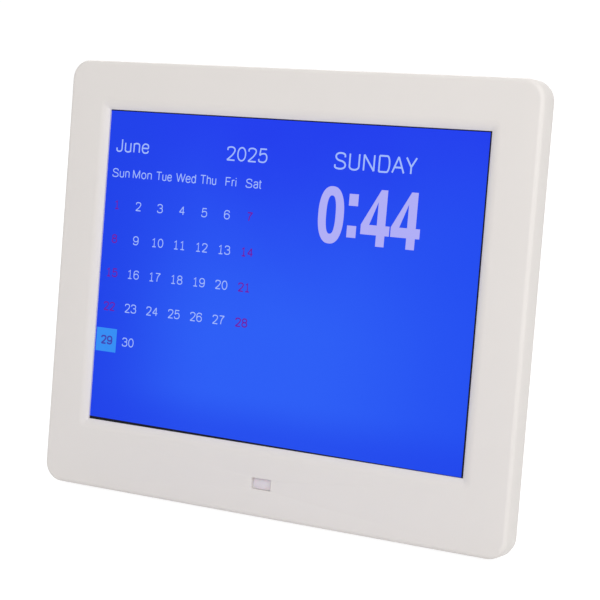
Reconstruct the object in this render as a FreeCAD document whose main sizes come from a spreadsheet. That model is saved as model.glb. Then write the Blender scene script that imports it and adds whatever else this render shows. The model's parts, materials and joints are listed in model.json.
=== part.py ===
import FreeCAD, Part
import math
import os
import re
import Sketcher

# Calendar day clock on a fold-out leg, in millimetres.
#
# Every piece is drawn as seen from the front with the clock flat on its back:
# x to the right, y up the casing from its lower edge, z towards the viewer
# from the front face. A depth is counted backwards from the front face. Each
# placement then stands the piece up, leaning back, over a level floor.

SIZES = {
    # casing, front
    "opening_width": 162.9,
    "opening_height": 122.1,
    "side_border": 18.85,
    "top_border": 18.8,
    "bottom_border": 26.7,
    "bezel_depth": 9.0,
    "corner_radius": 7.5,
    "edge_radius": 1.8,
    "rear_edge_radius": 0.5,
    "front_wall": 1.8,
    "side_wall": 2.2,
    "lip_width": 3.4,
    "lip_depth": 1.5,
    "lean_angle": 9.0,
    # display module
    "gasket_thickness": 0.25,
    "gasket_margin": 1.0,
    "lcd_margin": 2.75,
    "frame_thickness": 0.25,
    "frame_margin": 1.4,
    "frame_skirt": 4.2,
    "glass_side_margin": 7.3,
    "glass_end_margin": 6.7,
    "glass_thickness": 1.1,
    "film_thickness": 0.5,
    "guide_thickness": 2.75,
    "reflector_thickness": 0.25,
    "tray_floor": 0.75,
    "tray_wall": 3.0,
    "lamp_strip_inset": 13.75,
    "lamp_strip_width": 0.8,
    "lamp_size": 2.2,
    "lamp_count": 12,
    "ribbon_width": 34.0,
    "ribbon_thickness": 0.25,
    "ribbon_reach": 12.0,
    "ribbon_tail": 2.0,
    # display clamps
    "clamp_low": 52.0,
    "clamp_high": 124.0,
    "clamp_length": 15.0,
    "clamp_width": 9.0,
    "clamp_thickness": 1.0,
    # infrared window and its board
    "window_centre": 0.4,
    "window_height": 12.6,
    "window_width": 8.4,
    "window_tall": 4.2,
    "window_corner": 0.5,
    "window_recess": 1.5,
    "window_flange": 1.3,
    "window_flange_thickness": 1.0,
    "receiver_width": 7.0,
    "receiver_tall": 7.0,
    "receiver_depth": 4.0,
    "receiver_dome": 2.0,
    "receiver_gap": 0.4,
    "receiver_board_width": 24.0,
    "receiver_screw_reach": 8.6,
    "receiver_post_radius": 2.1,
    # back cover
    "cover_step": 0.35,
    "cover_wall": 2.0,
    "flank_depth": 4.0,
    "flank_chamfer": 3.0,
    "locating_wall": 1.1,
    "locating_reach": 2.0,
    "locating_length": 32.0,
    "locating_spread": 82.0,
    "hump_width": 154.0,
    "hump_bottom": 21.0,
    "hump_head_room": 4.0,
    "hump_depth": 11.0,
    "hump_corner": 9.0,
    "hump_edge": 2.0,
    # screws
    "case_screw_inset": 6.0,
    "case_screw_bottom": 9.5,
    "case_screw_middle": 84.0,
    "case_boss_radius": 2.4,
    "case_post_radius": 3.0,
    "case_screw_head": 2.2,
    "case_screw_shank": 1.1,
    "small_screw_head": 1.7,
    "small_screw_shank": 0.85,
    "screw_head_height": 1.2,
    "small_head_height": 0.9,
    "screw_length": 6.0,
    "small_screw_length": 4.5,
    # leg and its hinge
    "leg_opening": 18.0,
    "hinge_height": 98.0,
    "hinge_depth": 20.4,
    "pin_radius": 1.5,
    "barrel_radius": 3.0,
    "leg_width": 34.0,
    "leg_inner": 1.0,
    "heel_length": 6.5,
    "heel_tip": 6.0,
    "leg_skin": 1.6,
    "leg_rib": 2.2,
    "leg_pocket_start": 8.0,
    "leg_pocket_length": 22.0,
    "leg_pocket_count": 3,
    "tip_length": 7.0,
    "tip_proud": 0.4,
    "tip_inset": 1.2,
    # feet
    "foot_drop": 0.5,
    "foot_seat": 0.6,
    "foot_width": 14.0,
    "foot_spacing": 150.0,
    "foot_front": 6.0,
    "foot_rear": 8.7,
    # main board
    "board_left": 73.5,
    "board_right": 24.0,
    "board_drop": 10.0,
    "board_depth": 12.4,
    "board_thickness": 1.6,
    "board_screw_inset": 4.5,
    "board_post_radius": 2.3,
    "board_post_gap": 2.0,
    "board_spacing": 5.3,
    # push buttons
    "button_pitch": 13.0,
    "button_radius": 3.5,
    "button_flange": 1.0,
    "button_flange_thickness": 0.7,
    "button_proud": 1.0,
    "button_travel": 0.35,
    "button_stem_radius": 1.5,
    "button_strip_height": 12.0,
    "button_strip_depth": 0.5,
    "key_board_height": 14.0,
    "key_board_thickness": 1.2,
    "key_screw_inset": 4.2,
    "switch_size": 6.0,
    "switch_depth": 3.4,
    "switch_nub": 0.4,
    "switch_nub_radius": 1.7,
    # sockets
    "inlet_width": 9.0,
    "inlet_length": 13.0,
    "inlet_tall": 7.4,
    "inlet_bore": 2.8,
    "inlet_bore_depth": 9.5,
    "inlet_pin": 1.0,
    "inlet_pin_setback": 1.0,
    "inlet_hole": 3.4,
    "inlet_spacing": 12.0,
    "usb_width": 13.2,
    "usb_length": 14.0,
    "usb_tall": 5.8,
    "usb_shell": 0.4,
    "usb_tongue_tall": 1.8,
    "usb_tongue_setback": 1.0,
    "usb_tongue_inset": 1.1,
    "usb_tongue_lift": 0.7,
    "usb_card_gap": 0.9,
    "card_width": 27.0,
    "card_length": 26.0,
    "card_tall": 2.9,
    "card_slot": 2.3,
    "card_side_wall": 1.0,
    "card_end_wall": 2.0,
    "port_margin": 0.5,
    # loudspeaker and openings for air and sound
    "speaker_centre": 50.0,
    "speaker_height": 52.0,
    "speaker_radius": 14.0,
    "speaker_depth": 3.0,
    "speaker_seat_wall": 1.3,
    "speaker_seat_depth": 2.4,
    "cloth_thickness": 0.3,
    "speaker_rim": 1.0,
    "speaker_floor": 1.0,
    "magnet_radius": 8.0,
    "magnet_depth": 3.0,
    "voice_coil": 4.8,
    "cone_depth": 1.6,
    "cone_thickness": 0.3,
    "sound_hole": 1.0,
    "sound_ring": 4.6,
    "vent_centre": 50.0,
    "vent_length": 20.0,
    "vent_width": 1.8,
    "vent_pitch": 4.0,
    "vent_count": 9,
    # keyholes for hanging
    "keyhole_reach": 56.0,
    "keyhole_height": 104.0,
    "keyhole_radius": 4.2,
    "keyhole_slot": 2.0,
    "keyhole_rise": 8.5,
    # parts on the main board
    "processor_size": 16.0,
    "memory_length": 12.0,
    "memory_width": 8.0,
    "memory_spacing": 4.8,
    "chip_thickness": 1.0,
    "crystal_length": 9.0,
    "crystal_width": 4.2,
    "crystal_height": 2.6,
    "chip_gap": 2.0,
    "capacitor_radius": 2.6,
    "capacitor_height": 5.6,
    "capacitor_pitch": 7.8,
    "connector_depth": 1.6,
    "connector_tall": 5.0,
    "connector_margin": 1.5,
    "coin_radius": 10.0,
    "coin_thickness": 3.2,
    "coin_holder_wall": 1.2,
    # wires
    "wire_radius": 0.5,
    "wire_pitch": 1.6,
    "wire_bend": 1.5,
    "short_wire_bend": 0.9,
    "wire_landing": 4.0,
    # clearances
    "slip": 0.15,
    "free_gap": 0.3,
    "pin_slip": 0.05,
    "pin_seat": 0.02,
    "stop_gap": 0.3,
    "seam": 0.1,
}

BUTTONS = ("power", "menu", "left", "up", "down", "right", "exit")

DERIVED = {
    "case_width": "opening_width + 2 * side_border",
    "case_height": "opening_height + top_border + bottom_border",
    "half_width": "case_width / 2",
    "screen_middle": "bottom_border + opening_height / 2",
    "opening_half": "opening_width / 2",
    "opening_low": "bottom_border",
    "opening_high": "bottom_border + opening_height",
    # depths of the display's layers
    "frame_front": "front_wall + gasket_thickness",
    "glass_front": "frame_front + frame_thickness",
    "film_front": "glass_front + glass_thickness",
    "guide_front": "film_front + film_thickness",
    "reflector_front": "guide_front + guide_thickness",
    "tray_inside": "reflector_front + reflector_thickness",
    "lcd_rear": "tray_inside + tray_floor",
    # outline of the display module, which follows the opening
    "glass_width": "opening_width + 2 * glass_side_margin",
    "glass_height": "opening_height + 2 * glass_end_margin",
    "glass_low": "screen_middle - glass_height / 2",
    "lcd_width": "glass_width + 2 * lcd_margin",
    "lcd_height": "glass_height + 2 * lcd_margin",
    "lcd_low": "screen_middle - lcd_height / 2",
    "lamp_strip_length": "glass_width - 2 * lamp_strip_inset",
    "tray_half": "lcd_width / 2 - frame_thickness - slip / 3",
    "tray_half_height": "lcd_height / 2 - frame_thickness - slip / 3",
    "cell_half": "tray_half - tray_wall",
    "cell_half_height": "tray_half_height - tray_wall",
    # back cover
    "plateau_depth": "bezel_depth + flank_depth",
    "rear_depth": "plateau_depth + hump_depth",
    "plateau_inside": "plateau_depth - cover_wall",
    "hump_inside": "rear_depth - cover_wall",
    "hump_half": "hump_width / 2",
    "hump_top": "button_height + key_board_height / 2 + hump_head_room",
    "hump_wall_inside": "hump_half - cover_wall",
    "cover_inset": "side_wall + slip + locating_wall",
    # fixings
    "case_screw_x": "half_width - case_screw_inset",
    "case_screw_top": "case_height - case_screw_inset",
    "case_boss_end": "bezel_depth - slip",
    "case_screw_seat": "plateau_inside + cover_wall / 3",
    "case_head_hole": "case_screw_head + slip",
    "case_shank_hole": "case_screw_shank + free_gap",
    "clamp_rear": "lcd_rear + clamp_thickness",
    # leg
    "splay": "leg_opening - lean_angle",
    "recess_half": "leg_width / 2 + free_gap",
    "recess_floor": "hinge_depth - barrel_radius - stop_gap",
    "recess_back": "recess_floor - cover_wall",
    "recess_top": "hinge_height + heel_length + barrel_radius / 2",
    "leg_outer": "barrel_radius",
    "floor_level": "-(bezel_depth * sin(lean_angle) + foot_drop)",
    "hinge_up": "hinge_height * cos(lean_angle) - hinge_depth * sin(lean_angle)",
    "hinge_back": "hinge_height * sin(lean_angle) + hinge_depth * cos(lean_angle)",
    "hinge_clear": "hinge_up - floor_level",
    "tip_outer": "leg_outer + tip_proud",
    "tip_inner": "leg_inner + tip_proud",
    "sole_outer": "-(hinge_clear + tip_outer * sin(splay)) / cos(splay)",
    "sole_inner": "(tip_inner * sin(splay) - hinge_clear) / cos(splay)",
    "leg_end": "sole_inner + tip_length",
    # whole clock
    "front_reach": "edge_radius * (sin(lean_angle) + cos(lean_angle) - 1)",
    "rear_reach": "hinge_back - sole_outer * sin(splay) + tip_outer * cos(splay)",
    "middle_back": "(front_reach + rear_reach) / 2",
    # boards and sockets, stacked upwards from the loudspeaker
    "board_rear": "board_depth + board_thickness",
    "board_bottom": "speaker_height - board_drop",
    "board_post_room": "board_screw_inset + board_post_radius + board_post_gap",
    "inlet_height": "board_bottom + board_post_room + inlet_width / 2",
    "usb_height": "inlet_height + inlet_width / 2 + inlet_spacing + usb_width / 2",
    "card_height": "usb_height + usb_width / 2 + usb_card_gap + card_width / 2",
    "board_top": "card_height + card_width / 2 + board_post_room",
    "button_height": "board_top + board_spacing + key_board_height / 2",
    "button_outer": "rear_depth - button_strip_depth + button_proud",
    "flange_rear": "hump_inside - seam",
    "flange_front": "flange_rear - button_flange_thickness",
    "stem_front": "flange_front - seam",
    "nub_rear": "stem_front - button_travel - seam",
    "switch_rear": "nub_rear - switch_nub",
    "key_board_rear": "switch_rear - switch_depth",
    "key_board_front": "key_board_rear - key_board_thickness",
    "button_reach": f"{(len(BUTTONS) - 1) / 2} * button_pitch",
    "key_screw_x": "button_reach + button_radius + button_flange + free_gap + board_post_radius",
    "key_board_half": "key_screw_x + key_screw_inset",
    "ribbon_low": "lcd_low - free_gap - ribbon_thickness",
    "receiver_board_half": "ribbon_low - free_gap - window_height",
    "receiver_front": "front_wall + window_flange_thickness + receiver_gap",
    "receiver_rear": "receiver_front + receiver_depth",
    "receiver_board_rear": "receiver_rear + key_board_thickness",
    # sound
    "cloth_front": "hump_inside - cloth_thickness",
    "speaker_front": "cloth_front - speaker_depth",
    "magnet_front": "speaker_front - magnet_depth",
}

DOCUMENT = FreeCAD.newDocument("day_clock")
SHEET = DOCUMENT.addObject("Spreadsheet::Sheet", "sizes")
NODES = {}


def fill_sheet():
    """Write each driving dimension into a cell of the sheet that bears its name."""
    for row, (name, amount) in enumerate(SIZES.items(), start=1):
        SHEET.set(f"A{row}", name)
        SHEET.set(f"B{row}", str(amount))
        SHEET.setAlias(f"B{row}", name)
    DOCUMENT.recompute()


def formula(text):
    """Turn plain size names into references to the sheet, opening out the derived ones."""
    def swap(match):
        word = match.group(0)
        if word in DERIVED:
            return "(" + formula(DERIVED[word]) + ")"
        if word in SIZES:
            return "sizes." + word
        return word
    return re.sub(r"[a-z_]+", swap, str(text))


def value(text):
    """The number that a formula gives now."""
    return float(SHEET.evalExpression(formula(text)))


def bind(thing, **formulas):
    """Tie properties to formulas; a double underscore in a name stands for a dot."""
    for name, text in formulas.items():
        thing.setExpression(name.replace("__", "."), formula(text))


# Plain solids

def block(x, y, depth):
    """A box between two limits in x, in y and in depth."""
    solid = DOCUMENT.addObject("Part::Box", "block")
    bind(solid, Length=f"{x[1]} - ({x[0]})", Width=f"{y[1]} - ({y[0]})", Height=f"{depth[1]} - ({depth[0]})")
    bind(solid, Placement__Base__x=x[0], Placement__Base__y=y[0], Placement__Base__z=f"-({depth[1]})")
    return solid


def centred(x, y, wide, tall, depth):
    """A box of a given width and height about a point of the front view."""
    return block(
        (f"{x} - ({wide}) / 2", f"{x} + ({wide}) / 2"),
        (f"{y} - ({tall}) / 2", f"{y} + ({tall}) / 2"),
        depth,
    )


def stud(radius, x, y, depth):
    """A round solid that runs from front to back."""
    solid = DOCUMENT.addObject("Part::Cylinder", "stud")
    bind(solid, Radius=radius, Height=f"{depth[1]} - ({depth[0]})")
    bind(solid, Placement__Base__x=x, Placement__Base__y=y, Placement__Base__z=f"-({depth[1]})")
    return solid


def axle(radius, x, y, depth):
    """A round solid that runs from left to right."""
    solid = DOCUMENT.addObject("Part::Cylinder", "axle")
    solid.Placement = FreeCAD.Placement(FreeCAD.Vector(), FreeCAD.Rotation(FreeCAD.Vector(0, 1, 0), 90))
    bind(solid, Radius=radius, Height=f"{x[1]} - ({x[0]})")
    bind(solid, Placement__Base__x=x[0], Placement__Base__y=y, Placement__Base__z=f"-({depth})")
    return solid


def union(*solids):
    """Join solids into one."""
    joined = DOCUMENT.addObject("Part::MultiFuse", "union")
    joined.Shapes = list(solids)
    return joined


def difference(base, *tools):
    """Cut the tools out of a base."""
    remainder = DOCUMENT.addObject("Part::Cut", "difference")
    remainder.Base = base
    remainder.Tool = tools[0] if len(tools) == 1 else union(*tools)
    return remainder


def copies(master, places):
    """Place one solid at each of several points of the front view, each a pair of formulas."""
    placed = []
    for x, y in places:
        link = DOCUMENT.addObject("App::Link", "copy")
        link.LinkedObject = master
        link.LinkTransform = True
        bind(link, LinkPlacement__Base__x=x, LinkPlacement__Base__y=y)
        placed.append(link)
    return placed


# Placing and naming the pieces

def stand_up(thing):
    """Stand a piece of the casing up, leaning back over the floor, about the clock's middle."""
    thing.Placement = FreeCAD.Placement(FreeCAD.Vector(), FreeCAD.Rotation(FreeCAD.Vector(1, 0, 0), 1))
    bind(thing, Placement__Rotation__Angle="90 - lean_angle")
    bind(thing, Placement__Base__y="-middle_back", Placement__Base__z="-floor_level")


def swing_out(thing):
    """Place a piece drawn about the hinge, with the leg swung out on its stop."""
    thing.Placement = FreeCAD.Placement(FreeCAD.Vector(), FreeCAD.Rotation(FreeCAD.Vector(1, 0, 0), 1))
    bind(thing, Placement__Rotation__Angle="90 - lean_angle + leg_opening")
    bind(thing, Placement__Base__y="hinge_back - middle_back", Placement__Base__z="hinge_clear")


def keep(label, thing, place=stand_up):
    """Name a finished sub-part, place it and list it for writing."""
    thing.Label = label
    place(thing)
    NODES[label] = thing
    return thing


def assemble(label, *solids):
    """Gather solids as one named sub-part."""
    group = DOCUMENT.addObject("Part::Compound", label)
    group.Links = list(solids)
    return keep(label, group)


# Sketches and features of the moulded pieces

def sketch(body, plane="XY_Plane", offset="0"):
    """An empty sketch on one of a body's own planes, moved along the plane's normal."""
    support = next(item for item in body.Origin.OriginFeatures if item.Role == plane)
    drawing = body.newObject("Sketcher::SketchObject", "sketch")
    drawing.AttachmentSupport = [(support, "")]
    drawing.MapMode = "FlatFace"
    bind(drawing, AttachmentOffset__Base__z=offset)
    return drawing


def dimension(drawing, kind, *places, amount):
    """Add a named dimension whose amount is a formula."""
    index = drawing.addConstraint(Sketcher.Constraint(kind, *places, value(amount)))
    name = f"size{index}"
    drawing.renameConstraint(index, name)
    drawing.setExpression("Constraints." + name, formula(amount))


def locate(drawing, element, point, x=None, y=None):
    """Fix a point of a sketch by its distances from the sketch's origin."""
    if x is not None:
        dimension(drawing, "DistanceX", -1, 1, element, point, amount=x)
    if y is not None:
        dimension(drawing, "DistanceY", -1, 1, element, point, amount=y)


def polygon(drawing, corners):
    """A closed outline of straight lines with every corner located."""
    points = [FreeCAD.Vector(value(x), value(y), 0) for x, y in corners]
    first = drawing.GeometryCount
    for start, end in zip(points, points[1:] + points[:1]):
        drawing.addGeometry(Part.LineSegment(start, end))
    for index, (x, y) in enumerate(corners):
        follower = first + (index + 1) % len(corners)
        drawing.addConstraint(Sketcher.Constraint("Coincident", first + index, 2, follower, 1))
        locate(drawing, first + index, 1, x, y)


def rectangle(drawing, x, y):
    """An upright rectangle between two limits each way."""
    polygon(drawing, [(x[0], y[0]), (x[1], y[0]), (x[1], y[1]), (x[0], y[1])])


def circle(drawing, x, y, radius):
    """A located circle."""
    centre = FreeCAD.Vector(value(x), value(y), 0)
    index = drawing.addGeometry(Part.Circle(centre, FreeCAD.Vector(0, 0, 1), value(radius)))
    dimension(drawing, "Radius", index, amount=radius)
    locate(drawing, index, 3, x, y)


def rounded(drawing, x, y, radius):
    """An upright rectangle with round corners, as four lines joined by tangent arcs."""
    left, right = value(x[0]), value(x[1])
    low, high = value(y[0]), value(y[1])
    corner = value(radius)
    first = drawing.GeometryCount
    turns = [
        (right - corner, low + corner, -90),
        (right - corner, high - corner, 0),
        (left + corner, high - corner, 90),
        (left + corner, low + corner, 180),
    ]
    arcs = []
    for across, up, start in turns:
        round_part = Part.Circle(FreeCAD.Vector(across, up, 0), FreeCAD.Vector(0, 0, 1), corner)
        arcs.append(Part.ArcOfCircle(round_part, math.radians(start), math.radians(start + 90)))
    for index, arc in enumerate(arcs):
        before = arcs[index - 1]
        drawing.addGeometry(Part.LineSegment(before.EndPoint, arc.StartPoint))
        drawing.addGeometry(arc)
    for index in range(8):
        drawing.addConstraint(Sketcher.Constraint("Tangent", first + index, 2, first + (index + 1) % 8, 1))
    for line, way in ((0, "Horizontal"), (2, "Vertical"), (4, "Horizontal"), (6, "Vertical")):
        drawing.addConstraint(Sketcher.Constraint(way, first + line))
    for arc in (3, 5, 7):
        drawing.addConstraint(Sketcher.Constraint("Equal", first + 1, first + arc))
    dimension(drawing, "Radius", first + 1, amount=radius)
    locate(drawing, first, 1, y=y[0])
    locate(drawing, first + 2, 1, x=x[1])
    locate(drawing, first + 4, 1, y=y[1])
    locate(drawing, first + 6, 1, x=x[0])


def slot(drawing, x, y, half_width):
    """An upright slot with round ends; y gives the centres of the ends."""
    across, low, high, half = value(x), value(y[0]), value(y[1]), value(half_width)
    up = FreeCAD.Vector(0, 0, 1)
    top = Part.ArcOfCircle(Part.Circle(FreeCAD.Vector(across, high, 0), up, half), 0, math.pi)
    foot = Part.ArcOfCircle(Part.Circle(FreeCAD.Vector(across, low, 0), up, half), math.pi, 2 * math.pi)
    first = drawing.GeometryCount
    drawing.addGeometry(top)
    drawing.addGeometry(Part.LineSegment(top.EndPoint, foot.StartPoint))
    drawing.addGeometry(foot)
    drawing.addGeometry(Part.LineSegment(foot.EndPoint, top.StartPoint))
    for index in range(4):
        drawing.addConstraint(Sketcher.Constraint("Tangent", first + index, 2, first + (index + 1) % 4, 1))
    drawing.addConstraint(Sketcher.Constraint("Vertical", first + 1))
    dimension(drawing, "Radius", first, amount=half_width)
    locate(drawing, first, 3, x, y[1])
    locate(drawing, first + 2, 3, y=y[0])


def pad(body, drawing, length, both_ways=False):
    """Thicken a sketch backwards, or equally to both sides."""
    feature = body.newObject("PartDesign::Pad", "pad")
    feature.Profile = drawing
    feature.Reversed = True
    feature.SideType = "Symmetric" if both_ways else "One side"
    bind(feature, Length=length)
    DOCUMENT.recompute()
    return feature


def pocket(body, drawing, length=None, both_ways=False):
    """Cut a sketch away against its plane's normal, right through where no length is given."""
    feature = body.newObject("PartDesign::Pocket", "pocket")
    feature.Profile = drawing
    feature.SideType = "Symmetric" if both_ways else "One side"
    if length is None:
        feature.Type = "ThroughAll"
    else:
        bind(feature, Length=length)
    DOCUMENT.recompute()
    if feature.Shape.Volume > feature.BaseFeature.Shape.Volume - 1e-6:
        raise RuntimeError(f"a pocket of {body.Label} cuts nothing")
    return feature


def edges_at(feature, depth, beyond=None):
    """Names of a solid's edges at one depth, outside a rectangle of the front view."""
    level = -value(depth)
    names = []
    for index, edge in enumerate(feature.Shape.Edges, start=1):
        heights = [point.z for point in edge.discretize(3)]
        if max(abs(height - level) for height in heights) > 1e-4:
            continue
        middle = edge.CenterOfMass
        if beyond is not None:
            (left, right), (low, high) = beyond
            if value(left) < middle.x < value(right) and value(low) < middle.y < value(high):
                continue
        names.append(f"Edge{index}")
    return names


def dress(body, kind, feature, names, **formulas):
    """Round or bevel edges of the latest feature."""
    dressing = body.newObject("PartDesign::" + kind, kind.lower())
    dressing.Base = (feature, names)
    bind(dressing, **formulas)
    DOCUMENT.recompute()
    return dressing


def row_pattern(body, feature, drawing, pitch, count):
    """Repeat a feature along x."""
    pattern = body.newObject("PartDesign::LinearPattern", "row")
    pattern.Originals = [feature]
    pattern.Direction = (drawing, ["H_Axis"])
    pattern.Mode = "Spacing"
    bind(pattern, Offset=pitch, Occurrences=count)
    body.Tip = pattern
    DOCUMENT.recompute()
    return pattern


def ring_pattern(body, feature, drawing, count):
    """Repeat a feature around the origin of its sketch."""
    pattern = body.newObject("PartDesign::PolarPattern", "ring")
    pattern.Originals = [feature]
    pattern.Axis = (drawing, ["N_Axis"])
    pattern.Angle = 360
    pattern.Occurrences = count
    body.Tip = pattern
    DOCUMENT.recompute()
    return pattern


# Places that several pieces share

CASE_SCREWS = [
    (side + "case_screw_x", height)
    for side in ("", "-")
    for height in ("case_screw_bottom", "case_screw_middle", "case_screw_top")
]
CLAMPS = [(side + "case_screw_x", height) for side in ("", "-") for height in ("clamp_low", "clamp_high")]
BOARD_SCREWS = [
    (x, y)
    for x in ("-board_left + board_screw_inset", "board_right - board_screw_inset")
    for y in ("board_bottom + board_screw_inset", "board_top - board_screw_inset")
]
KEY_SCREWS = [(side + "key_screw_x", "button_height") for side in ("", "-")]
RECEIVER_SCREWS = [(f"window_centre {side} receiver_screw_reach", "window_height") for side in ("-", "+")]

def make_front_bezel():
    """Front shell: frame around the screen with a sloped lip, side walls, bosses and foot seats."""
    body = DOCUMENT.addObject("PartDesign::Body", "front_bezel")
    outline = sketch(body)
    rounded(outline, ("-half_width", "half_width"), ("0", "case_height"), "corner_radius")
    pad(body, outline, "bezel_depth")

    cavity = sketch(body, offset="-front_wall")
    rounded(
        cavity,
        ("-half_width + side_wall", "half_width - side_wall"),
        ("side_wall", "case_height - side_wall"),
        "corner_radius - side_wall",
    )
    shell = pocket(body, cavity)
    shell = dress(body, "Fillet", shell, edges_at(shell, "0"), Radius="edge_radius")
    mid_wall = (
        ("-half_width + side_wall / 2", "half_width - side_wall / 2"),
        ("side_wall / 2", "case_height - side_wall / 2"),
    )
    dress(body, "Fillet", shell, edges_at(shell, "bezel_depth", mid_wall), Radius="rear_edge_radius")

    lip_front = sketch(body)
    rectangle(
        lip_front,
        ("-opening_half - lip_width", "opening_half + lip_width"),
        ("opening_low - lip_width", "opening_high + lip_width"),
    )
    lip_rear = sketch(body, offset="-lip_depth")
    rectangle(lip_rear, ("-opening_half", "opening_half"), ("opening_low", "opening_high"))
    lip = body.newObject("PartDesign::SubtractiveLoft", "lip")
    lip.Profile = lip_front
    lip.Sections = [lip_rear]
    lip.Ruled = True
    DOCUMENT.recompute()
    opening = sketch(body)
    rectangle(opening, ("-opening_half", "opening_half"), ("opening_low", "opening_high"))
    pocket(body, opening, "2 * front_wall")

    window = sketch(body)
    rounded(
        window,
        ("window_centre - window_width / 2", "window_centre + window_width / 2"),
        ("window_height - window_tall / 2", "window_height + window_tall / 2"),
        "window_corner",
    )
    pocket(body, window, "2 * front_wall")

    for places, radius, end, pilot in (
        (CASE_SCREWS, "case_boss_radius", "case_boss_end", "case_screw_shank"),
        (CLAMPS, "case_boss_radius", "lcd_rear", "small_screw_shank"),
        (RECEIVER_SCREWS, "receiver_post_radius", "receiver_rear", "small_screw_shank"),
    ):
        bosses = sketch(body, offset="-front_wall / 2")
        for x, y in places:
            circle(bosses, x, y, radius)
        pad(body, bosses, f"{end} - front_wall / 2")
        pilots = sketch(body, offset="-front_wall")
        for x, y in places:
            circle(pilots, x, y, f"{pilot} + pin_seat")
        pocket(body, pilots)

    seats = sketch(body, offset="-foot_front")
    for side in ("-", ""):
        rectangle(
            seats,
            (f"{side}foot_spacing / 2 - foot_width / 2", f"{side}foot_spacing / 2 + foot_width / 2"),
            ("-foot_seat", "foot_seat"),
        )
    pocket(body, seats, "foot_rear - foot_front")
    keep("front_bezel", body)


def make_window():
    """Infrared window: a tinted lens in the lower border, held by a flange behind it."""
    body = DOCUMENT.addObject("PartDesign::Body", "ir_window")
    for outline, offset, margin, corner, thickness in (
        (rounded, "-window_recess", "-seam", ["window_corner"], "front_wall + seam - window_recess"),
        (rectangle, "-front_wall", "window_flange", [], "window_flange_thickness"),
    ):
        half_width = f"(window_width / 2 + ({margin}))"
        half_tall = f"(window_tall / 2 + ({margin}))"
        drawing = sketch(body, offset=offset)
        outline(
            drawing,
            (f"window_centre - {half_width}", f"window_centre + {half_width}"),
            (f"window_height - {half_tall}", f"window_height + {half_tall}"),
            *corner,
        )
        pad(body, drawing, thickness)
    keep("ir_window", body)


def layer(label, wide, tall, depth):
    """A plain sheet of the display, about the middle of the screen."""
    assemble(label, centred("0", "screen_middle", wide, tall, depth))


def make_display():
    """Display module: gasket, pressed frame, glass, films, light guide, reflector, tray and lamps."""
    gasket = centred(
        "0", "screen_middle", "lcd_width - 2 * gasket_margin", "lcd_height - 2 * gasket_margin",
        ("front_wall", "frame_front"),
    )
    hole = centred(
        "0", "screen_middle", "opening_width + 2 * frame_margin", "opening_height + 2 * frame_margin",
        ("front_wall - 1", "lcd_rear"),
    )
    assemble("lcd_gasket", difference(gasket, hole))

    skin = centred("0", "screen_middle", "lcd_width", "lcd_height", ("frame_front", "glass_front + frame_skirt"))
    inside = centred(
        "0", "screen_middle", "lcd_width - 2 * frame_thickness", "lcd_height - 2 * frame_thickness",
        ("glass_front", "glass_front + 2 * frame_skirt"),
    )
    notch = block(
        ("-ribbon_width / 2 - free_gap", "ribbon_width / 2 + free_gap"),
        ("lcd_low - 1", "lcd_low + 1"),
        ("glass_front", "glass_front + 2 * frame_skirt"),
    )
    assemble("lcd_front_frame", difference(skin, inside, hole, notch))

    layer("lcd_glass", "glass_width", "glass_height", ("glass_front", "film_front"))
    room = "slip / 2"
    sheet_wide = f"2 * cell_half - 2 * {room}"
    sheet_tall = f"2 * cell_half_height - 2 * {room}"
    layer("diffuser_films", sheet_wide, sheet_tall, ("film_front", "guide_front"))
    layer("reflector_sheet", sheet_wide, sheet_tall, ("reflector_front", "tray_inside"))

    tray = centred("0", "screen_middle", "2 * tray_half", "2 * tray_half_height", ("film_front", "lcd_rear"))
    cell = centred("0", "screen_middle", "2 * cell_half", "2 * cell_half_height", ("film_front - 1", "tray_inside"))
    assemble("lcd_rear_tray", difference(tray, cell))

    low = "screen_middle - cell_half_height"
    lamp_top = f"{low} + {room} + lamp_strip_width + lamp_size"
    guide = block(
        (f"-cell_half + {room}", f"cell_half - {room}"),
        (f"{lamp_top} + seam", f"screen_middle + cell_half_height - {room}"),
        ("guide_front", "reflector_front"),
    )
    assemble("light_guide", guide)
    strip = block(
        ("-lamp_strip_length / 2", "lamp_strip_length / 2"),
        (f"{low} + {room}", f"{low} + {room} + lamp_strip_width"),
        ("guide_front", "reflector_front"),
    )
    lamps = []
    pitch = "lamp_strip_length / lamp_count"
    for index in range(int(value("lamp_count"))):
        lamps.append(centred(
            f"({index} + 0.5) * {pitch} - lamp_strip_length / 2",
            f"{low} + {room} + lamp_strip_width + lamp_size / 2 - seam",
            "1.6 * lamp_size", "lamp_size",
            ("guide_front + seam", "reflector_front - seam"),
        ))
    assemble("led_strip", union(strip, *lamps))


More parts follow.
